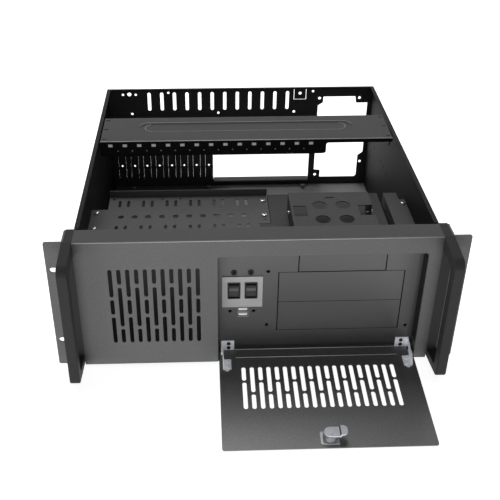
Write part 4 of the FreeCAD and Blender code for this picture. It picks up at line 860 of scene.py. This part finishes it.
def makeBarStep():
    mesh = bmesh.new()
    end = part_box("hold_down_bar")[1].x / mm
    step = end - barStep["fromEnd"] + barStep["past"]
    start = step - barStep["overlap"]
    end -= barStep["endGap"]
    corner = barStep["corner"]
    outline = [(start, barStep["foot"])]
    outline += arc(step - corner, barStep["foot"] + corner, corner, -90, 0, steps=4)
    outline += arc(step + corner, barStep["short"] - corner, corner, 180, 90, steps=4)
    outline += [(end, barStep["short"]), (end, barStep["top"]), (start, barStep["top"])]
    line = [spot(0, barStep["front"], 0), spot(0, barStep["back"], 0)]
    sweep(mesh, line, upWay, outline)
    settle(mesh, "bar_step_edge", barPaint, "chassis", soft=False)


# card covers: a narrow lap behind each slit leaves a hairline of light beside it
cardLaps = {
    "first": -195.4,
    "pitch": 20.45,
    "count": 8,
    "aside": 6.0,
    "back": 441.5,
    "runs": ((17.2, 34.8), (37.6, 117.8)),
    "section": ((-0.35, -0.3), (0.06, -0.3), (0.06, 0.2), (-0.1, 0.35), (-0.35, 0.2)),
}


def makeCardLaps():
    mesh = bmesh.new()
    for i in range(cardLaps["count"]):
        for side in (-1, 1):
            x = cardLaps["first"] + cardLaps["pitch"] * i + side * cardLaps["aside"]
            for low, high in cardLaps["runs"]:
                line = [spot(x, cardLaps["back"], low), spot(x, cardLaps["back"], high)]
                sweep(mesh, line, frontWay, cardLaps["section"])
    settle(mesh, "card_cover_laps", insidePaint, "chassis")


# sheet folded in along the foot of the port opening: it slopes down and turns under
portLip = {
    "left": -44.5,
    "right": 113.2,
    "back": 441,
    "up": 16.4,
    "reach": 7.0,
    "slope": 3.2,
    "turn": 5.2,
    "bevel": 0.4,
    "sheet": 0.8,
}


def makePortLip():
    mesh = bmesh.new()
    line = [spot(portLip[side], portLip["back"], portLip["up"]) for side in ("left", "right")]
    reach = portLip["reach"]
    slope = portLip["slope"]
    turn = portLip["turn"]
    bevel = portLip["bevel"]
    sheet = portLip["sheet"]
    section = [(0, 0), (reach - bevel, -slope), (reach, -slope - bevel), (reach, -turn)]
    section += [(reach - sheet, -turn), (reach - sheet, -slope - sheet), (0, -sheet)]
    sweep(mesh, line, upWay, section)
    settle(mesh, "port_opening_lip", earPaint, "chassis", soft=False)


# six-sided posts under the motherboard, each with its screw hole, darkened by a black disc as
# painted shade
boardPosts = {
    "columns": (-177.5, -53.04, 104.44),
    "rows": (427.3, 272.36, 199.97),
    "foot": 1.0,
    "tall": 6.5,
    "corner": 3.15,
    "bevelIn": 0.5,
    "bevelDown": 0.4,
    "bore": 1.5,
    "boreFoot": 1.5,
    "shade": 1.3,
    "shadeDown": 0.9,
}


def makeBoardPosts():
    mesh = bmesh.new()
    holes = bmesh.new()
    corner = boardPosts["corner"]
    tall = boardPosts["tall"]
    bore = boardPosts["bore"]
    profile = [(corner, 0), (corner, tall - boardPosts["bevelDown"])]
    profile += [(corner - boardPosts["bevelIn"], tall), (bore, tall)]
    profile += [(bore, boardPosts["boreFoot"]), (0, boardPosts["boreFoot"])]
    shadeUp = tall - boardPosts["shadeDown"]
    shade = [(boardPosts["shade"], shadeUp), (0, shadeUp)]
    for x in boardPosts["columns"]:
        for y in boardPosts["rows"]:
            foot = spot(x, y, boardPosts["foot"])
            turned(mesh, foot, upWay, profile, around=6)
            turned(holes, foot, upWay, shade, around=20)
    posts = settle(mesh, "board_posts", postMetal, "chassis", soft=False)
    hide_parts("motherboard_posts")
    settle(holes, "board_post_hole_shades", paintedShadeFoam, "chassis", soft=False)


# black strips in the gaps round the bay covers, a painted shade: the large pair, then the small
# one
coverGaps = {
    "depth": 18.1,
    "side": 1.3,
    "level": 0.56,
    "proud": 0.16,
    "sunk": 0.5,
    "rows": (
        {"across": (25.25, 174.15), "up": (33.0, 120.0), "levels": (33.3, 76.5, 119.7)},
        {"across": (48.25, 151.15), "up": (120.3, 147.0), "levels": (146.7,)},
    ),
}


def makeCoverGaps():
    mesh = bmesh.new()
    depth = coverGaps["depth"]
    sideStrip = strip(coverGaps["side"], coverGaps["proud"])
    levelStrip = strip(coverGaps["level"], coverGaps["proud"], coverGaps["sunk"])
    for row in coverGaps["rows"]:
        low, high = row["up"]
        left, right = row["across"]
        for x in (left, right):
            sweep(mesh, [spot(x, depth, low), spot(x, depth, high)], frontWay, sideStrip)
        for z in row["levels"]:
            sweep(mesh, [spot(left, depth, z), spot(right, depth, z)], frontWay, levelStrip)
    settle(mesh, "cover_gap_shade_strips", paintedShadeFoam, "chassis", soft=False)


# black discs behind the panel's spare holes, a painted shade
holeShades = {
    "places": ((12.7, 121.4), (12.7, 42.0), (-32.0, 63.8), (-3.6, 63.8), (183.8, 36.7)),
    "radius": 2.15,
    "back": 19.0,
    "thick": 0.5,
    "crown": 0.1,
}


def makeHoleShades():
    mesh = bmesh.new()
    radius = holeShades["radius"]
    thick = holeShades["thick"]
    crown = holeShades["crown"]
    profile = [(0, -thick - crown), (radius, -thick), (radius, 0), (0, crown)]
    for x, z in holeShades["places"]:
        turned(mesh, spot(x, holeShades["back"], z), frontWay, profile, around=20)
    settle(mesh, "panel_hole_shades", paintedShadeFoam, "chassis")


# dark lining along both sides of the recess, a painted shade on its side walls
recessShade = {
    "left": -47.25,
    "right": 194.25,
    "front": 3.5,
    "back": 17.6,
    "low": 22.0,
    "high": 148.0,
    "thick": 0.5,
    "edge": 0.4,
    "edgeThick": 0.3,
}


def makeRecessShade():
    mesh = bmesh.new()
    half = (recessShade["back"] - recessShade["front"]) / 2
    middleBack = recessShade["front"] + half
    thick = recessShade["thick"]
    edge = recessShade["edge"]
    edgeThick = recessShade["edgeThick"]
    section = [(-half, 0), (half, 0), (half, edgeThick), (half - edge, thick)]
    section += [(edge - half, thick), (-half, edgeThick)]
    for x, way in ((recessShade["left"], acrossWay), (recessShade["right"], -acrossWay)):
        line = [spot(x, middleBack, recessShade["low"]), spot(x, middleBack, recessShade["high"])]
        sweep(mesh, line, way, section)
    settle(mesh, "recess_shade_lining", recessShadeLining, "chassis", soft=False)


# lamp lenses in their rings
lampRings = {
    "places": (-27.5, -7.7),
    "up": 120.8,
    "ring": 2.5,
    "wire": 0.45,
    "ringBack": 17.0,
    "lens": 1.5,
    "dome": 0.5,
    "lensBack": 17.5,
}


def makeLampRings():
    mesh = bmesh.new()
    loop = arc(lampRings["ring"], 0, lampRings["wire"], 0, 360, steps=8)
    for x in lampRings["places"]:
        turned(mesh, spot(x, lampRings["ringBack"], lampRings["up"]), frontWay, loop, around=28)
    bmesh.ops.remove_doubles(mesh, verts=mesh.verts, dist=1e-6)
    settle(mesh, "lamp_rings", bezelPlastic, "chassis")
    mesh = bmesh.new()
    profile = domeProfile(lampRings["lens"], lampRings["dome"])
    for x in lampRings["places"]:
        turned(mesh, spot(x, lampRings["lensBack"], lampRings["up"]), frontWay, profile, around=24)
    settle(mesh, "lamp_lenses", lampPlastic, "chassis")


# thin ridge between the two flats of each key, paler where the painted light band reaches it
keyRidge = {
    "half": 6.3,
    "back": 16.65,
    "up": 95.7,
    "radius": 0.4,
    "keys": ((-27.5, "power_key_ridge", "power_key"), (-7.2, "reset_key_ridge", "reset_key")),
}


def makeKeyRidges():
    half = keyRidge["half"]
    for x, name, body in keyRidge["keys"]:
        mesh = bmesh.new()
        line = [spot(end, keyRidge["back"], keyRidge["up"]) for end in (x - half, x + half)]
        sweep(mesh, line, frontWay, halfRound(keyRidge["radius"]))
        settle(mesh, name, rockerPlastic, body)


# spring contacts on the port's two tongues
portContacts = {
    "first": -20.0,
    "pitch": 2.33,
    "count": 4,
    "levels": (59.85, 67.65),
    "front": 18.2,
    "back": 24.0,
    "section": ((-0.5, -0.05), (0.5, -0.05), (0.4, 0.2), (-0.4, 0.2)),
}


def makePortContacts():
    mesh = bmesh.new()
    for z in portContacts["levels"]:
        for i in range(portContacts["count"]):
            x = portContacts["first"] + portContacts["pitch"] * i
            line = [spot(x, portContacts["front"], z), spot(x, portContacts["back"], z)]
            sweep(mesh, line, upWay, portContacts["section"])
    settle(mesh, "port_contacts", contactGold, "chassis", soft=False)


# sheared edges of the hinge arms and leaves in glowing zinc, a painted highlight, each following
# (back, up)
hingeEdges = {
    "wide": 1.15,
    "sunk": 0.1,
    "proud": 0.25,
    "bevel": 0.15,
    "arms": (-42.6, 189.6),
    "armLine": ((17.5, 17.85), (12.5, 16.3), (7.6, 14.75), (6.0, 14.1)),
    "leaves": (-41.0, 188.0),
    "leafLine": (
        (8.7, 10.8),
        (10.5, 14.8),
        (12.0, 18.5),
        (12.9, 21.5),
        (13.0, 24.2),
        (12.0, 26.9),
        (9.3, 30.0),
        (6.0, 33.1),
        (3.4, 34.3),
    ),
}


def makeHingeEdges():
    half = hingeEdges["wide"] / 2
    sunk = hingeEdges["sunk"]
    proud = hingeEdges["proud"]
    flat = half - hingeEdges["bevel"]
    section = [(-sunk, -half), (proud, -flat), (proud, flat), (-sunk, half)]
    mesh = bmesh.new()
    for x in hingeEdges["arms"]:
        line = [spot(x, y, z) for y, z in hingeEdges["armLine"]]
        sweep(mesh, line, acrossWay, section)
    settle(mesh, "hinge_arm_edges", glowingHingeZinc, "chassis")
    mesh = bmesh.new()
    for x in hingeEdges["leaves"]:
        line = [doorSpot(x, y, z) for y, z in hingeEdges["leafLine"]]
        sweep(mesh, line, -acrossWay, section)
    settle(mesh, "hinge_leaf_edges", glowingHingeZinc, "door")


# hem along the door's foot: pale lines on its fold and its end, a painted highlight where they
# catch the light
doorHem = {
    "left": -25.7,
    "right": 172.7,
    "fold": {"out": 2.15, "up": 3.7, "bead": 0.6},
    "end": {"out": 2.3, "up": 17.4, "bead": 0.45},
}


def makeHemLines():
    mesh = bmesh.new()
    for edge in (doorHem["fold"], doorHem["end"]):
        line = [doorSpot(doorHem[side], edge["out"], edge["up"]) for side in ("left", "right")]
        sweep(mesh, line, doorOut, halfRound(edge["bead"]))
    settle(mesh, "door_hem_lines", hemHighlightPaint, "door")


# domed rivet heads on the hinge plates and leaves
rivetHeads = {
    "radius": 2.25,
    "dome": 0.55,
    "plates": (-33.7, 180.7),
    "plateUp": (7.7, 14.2),
    "plateBack": 16.12,
    "leaves": (-35.5, 182.5),
    "leafUp": (24.5, 33.0),
    "leafBack": 3.08,
}


def makeRivetHeads():
    mesh = bmesh.new()
    profile = domeProfile(rivetHeads["radius"], rivetHeads["dome"])
    for x in rivetHeads["plates"]:
        for z in rivetHeads["plateUp"]:
            turned(mesh, spot(x, rivetHeads["plateBack"], z), frontWay, profile, around=20)
    settle(mesh, "plate_rivet_domes", blackSteel, "chassis")
    mesh = bmesh.new()
    for x in rivetHeads["leaves"]:
        for z in rivetHeads["leafUp"]:
            turned(mesh, doorSpot(x, rivetHeads["leafBack"], z), doorOut, profile, around=20)
    settle(mesh, "leaf_rivet_domes", glowingHingeZinc, "door")


# thread on the lock barrel and the rolled rim of its spring clip
lockTrim = {
    "across": 73.5,
    "up": 141.5,
    "radius": 7.55,
    "crest": 0.4,
    "first": 3.0,
    "pitch": 1.15,
    "turns": 6,
    "clipHalf": 10.0,
    "clipTall": 8.75,
    "clipCorner": 2.0,
    "clipBack": 2.15,
    "rim": 0.55,
}


def makeLockTrim():
    mesh = bmesh.new()
    radius = lockTrim["radius"]
    crest = lockTrim["crest"]
    profile = [(radius, -crest), (radius + crest, 0), (radius, crest)]
    for k in range(lockTrim["turns"]):
        back = lockTrim["first"] + lockTrim["pitch"] * k
        centre = doorSpot(lockTrim["across"], back, lockTrim["up"])
        turned(mesh, centre, doorOut, profile, around=40)
    settle(mesh, "lock_thread", lockSteel, "door")
    mesh = bmesh.new()
    corner = lockTrim["clipCorner"]
    half = lockTrim["clipHalf"] - corner
    tall = lockTrim["clipTall"] - corner
    loop = []
    for right, up, start in ((1, 1, 0), (-1, 1, 90), (-1, -1, 180), (1, -1, 270)):
        x = lockTrim["across"] + right * half
        z = lockTrim["up"] + up * tall
        loop += arc(x, z, corner, start, start + 90, steps=5)
    line = [doorSpot(x, lockTrim["clipBack"], z) for x, z in loop]
    sweep(mesh, line, doorOut, halfRound(lockTrim["rim"]), closed=True)
    settle(mesh, "lock_clip_rim", lockChrome, "door")


# dark strip on the step between the cam's hub and its tongue, a painted shade
camStep = {"across": 84.15, "half": 6.35, "top": 12.7, "run": 0.9, "rise": 2.5, "thick": 0.3}


def makeCamStep():
    mesh = bmesh.new()
    run = camStep["run"] / 2
    rise = camStep["rise"] / 2
    thick = camStep["thick"]
    back = camStep["top"] + rise
    ups = [lockTrim["up"] + way * camStep["half"] for way in (-1, 1)]
    line = [doorSpot(camStep["across"], back, up) for up in ups]
    section = [(run, -rise), (run + thick, -rise), (thick - run, rise), (-run, rise)]
    sweep(mesh, line, doorOut, section)
    settle(mesh, "cam_step_shade", blackSteel, "lock", soft=False)


# round heads over the shelf screws, each with a raised black cross standing for its cross recess,
# a painted shade
screwHeads = {
    "places": ((-202.0, 157.9), (-202.0, 119.9), (17.4, 183.0), (17.4, 146.0), (205.0, 171.0)),
    "radius": 3.1,
    "dome": 0.7,
    "sunk": 0.02,
    "cross": 3.4,
    "crossWide": 0.7,
    "crossDown": 0.12,
    "crossProud": 0.16,
}


def makeScrewHeads():
    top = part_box("shelf_screws")[1].z - screwHeads["sunk"] * mm
    heads = bmesh.new()
    crossShades = bmesh.new()
    profile = domeProfile(screwHeads["radius"], screwHeads["dome"])
    crossUp = screwHeads["dome"] - screwHeads["crossDown"]
    crossStrip = strip(screwHeads["crossWide"], screwHeads["crossProud"])
    for x, y in screwHeads["places"]:
        centre = spot(x, y, 0)
        centre.z = top
        turned(heads, centre, upWay, profile, around=28)
        raised = centre + upWay * crossUp * mm
        for way in (Vector((1, 1, 0)), Vector((1, -1, 0))):
            reach = way.normalized() * screwHeads["cross"] / 2 * mm
            sweep(crossShades, [raised - reach, raised, raised + reach], upWay, crossStrip)
    settle(heads, "shelf_screw_heads", screwChrome, "chassis")
    settle(crossShades, "shelf_screw_recess_shades", paintedShadeFoam, "chassis", soft=False)


# moulded ribs round each foot
footRibs = {
    "across": (-172.2, 172.2),
    "back": (72.0, 400.0),
    "levels": (-2.2, -4.4, -6.4),
    "radius": 8.95,
    "crest": 0.35,
    "half": 0.5,
}


def makeFootRibs():
    mesh = bmesh.new()
    radius = footRibs["radius"]
    half = footRibs["half"]
    profile = [(radius, -half), (radius + footRibs["crest"], 0), (radius, half)]
    for x in footRibs["across"]:
        for y in footRibs["back"]:
            for level in footRibs["levels"]:
                turned(mesh, spot(x, y, level), upWay, profile, around=36)
    settle(mesh, "foot_ribs", footRubber, "chassis")


makeBarPads()
makeBarPips()
makeTroughRims()
makeBends()
makeBarStep()
print("bar trimmed")
makeCardLaps()
makePortLip()
makeBoardPosts()
print("rear panel and floor trimmed")
makeCoverGaps()
makeHoleShades()
makeRecessShade()
makeLampRings()
makeKeyRidges()
makePortContacts()
print("recess trimmed")
makeHingeEdges()
makeHemLines()
makeRivetHeads()
makeLockTrim()
makeCamStep()
print("door trimmed")
makeScrewHeads()
makeFootRibs()
print("screws and feet trimmed")


# pale floor that bends up far behind into a backdrop, in metres
studio = {
    "reach": 9.0,
    "back": 7.0,
    "bend": 2.0,
    "bendSteps": 12,
    "height": 12.0,
    "floorTone": 0.93,
    "floorParts": (0.995, 1.0),
    "floorRough": 0.9,
    "floorGlow": 0.85,
    "fibreScale": 6.0,
    "skyTone": 1.0,
    "skyLight": 0.12,
}


def studioFloor():
    low = cadLow.z
    reach = studio["reach"]
    bend = studio["bend"]
    rows = [(-reach, low)]
    rows += arc(studio["back"], low + bend, bend, -90, 0, studio["bendSteps"])
    rows.append((studio["back"] + bend, low + studio["height"]))
    points = []
    for y, z in rows:
        points += [(-reach, y, z), (reach, y, z)]
    faces = [(2 * i, 2 * i + 1, 2 * i + 3, 2 * i + 2) for i in range(len(rows) - 1)]
    mesh = bpy.data.meshes.new("studioFloor")
    mesh.from_pydata(points, [], faces)
    for face in mesh.polygons:
        face.use_smooth = True
    f = Finish("floorPaper")
    fibre = f.noise(studio["fibreScale"])
    mesh.materials.append(f.surface({
        "Base Color": f.shades(fibre, studio["floorTone"], studio["floorParts"]),
        "Roughness": studio["floorRough"],
        "Emission Color": grey(1.0),
        "Emission Strength": studio["floorGlow"],
    }))
    floor = bpy.data.objects.new("studioFloor", mesh)
    bpy.context.scene.collection.objects.link(floor)


studioFloor()

# soft lamps, in metres and watts
lamps = {
    "key": {"at": (-0.25, 0.95, 2.2), "wide": 1.2, "tall": 1.2, "power": 18.5},
    "front": {"at": (-1.2, -2.4, -0.02), "wide": 2.4, "tall": 0.12, "power": 13.0},
    "over": {"at": (0.1, -0.75, 1.7), "wide": 1.0, "tall": 0.5, "power": 1.5},
}


def softLamp(name, facts, target):
    light = bpy.data.lights.new(name, "AREA")
    light.shape = "RECTANGLE"
    light.size = facts["wide"]
    light.size_y = facts["tall"]
    light.energy = facts["power"]
    lamp = bpy.data.objects.new(name, light)
    lamp.location = Vector(facts["at"])
    lamp.rotation_mode = "QUATERNION"
    lamp.rotation_quaternion = (target - lamp.location).to_track_quat("-Z", "Y")
    bpy.context.scene.collection.objects.link(lamp)


middle = (cadLow + cadHigh) / 2
for name, facts in lamps.items():
    softLamp(name, facts, middle)

world = bpy.data.worlds.new("studioSky")
world.use_nodes = True
background = world.node_tree.nodes["Background"]
background.inputs["Color"].default_value = grey(studio["skyTone"])
background.inputs["Strength"].default_value = studio["skyLight"]
bpy.context.scene.world = world
bpy.context.scene.view_settings.view_transform = "Standard"
print("studio lit")

# where the camera stands in millimetres, its angles in degrees, and how its frame is shifted
viewpoint = {
    "at": (-60.28, -757.25, 582.26),
    "down": 32.007,
    "right": 2.063,
    "roll": 0.123,
    "lens": 58.2,
    "shiftX": 0.0404,
    "shiftY": -0.0536,
    "near": 0.01,
    "far": 60.0,
}


def makeCamera():
    down = math.radians(viewpoint["down"])
    right = math.radians(viewpoint["right"])
    roll = math.radians(viewpoint["roll"])
    level = math.cos(down)
    ahead = Vector((math.sin(right) * level, math.cos(right) * level, -math.sin(down)))
    side = Vector((math.cos(right), -math.sin(right), 0.0))
    up = side.cross(ahead)
    rolledSide = side * math.cos(roll) + up * math.sin(roll)
    rolledUp = up * math.cos(roll) - side * math.sin(roll)
    data = bpy.data.cameras.new("camera")
    data.lens = viewpoint["lens"]
    data.shift_x = viewpoint["shiftX"]
    data.shift_y = viewpoint["shiftY"]
    data.clip_start = viewpoint["near"]
    data.clip_end = viewpoint["far"]
    camera = bpy.data.objects.new("camera", data)
    turn = Matrix((rolledSide, rolledUp, -ahead)).transposed().to_4x4()
    camera.matrix_world = Matrix.Translation(Vector(viewpoint["at"]) * mm) @ turn
    bpy.context.scene.collection.objects.link(camera)
    bpy.context.scene.camera = camera


makeCamera()
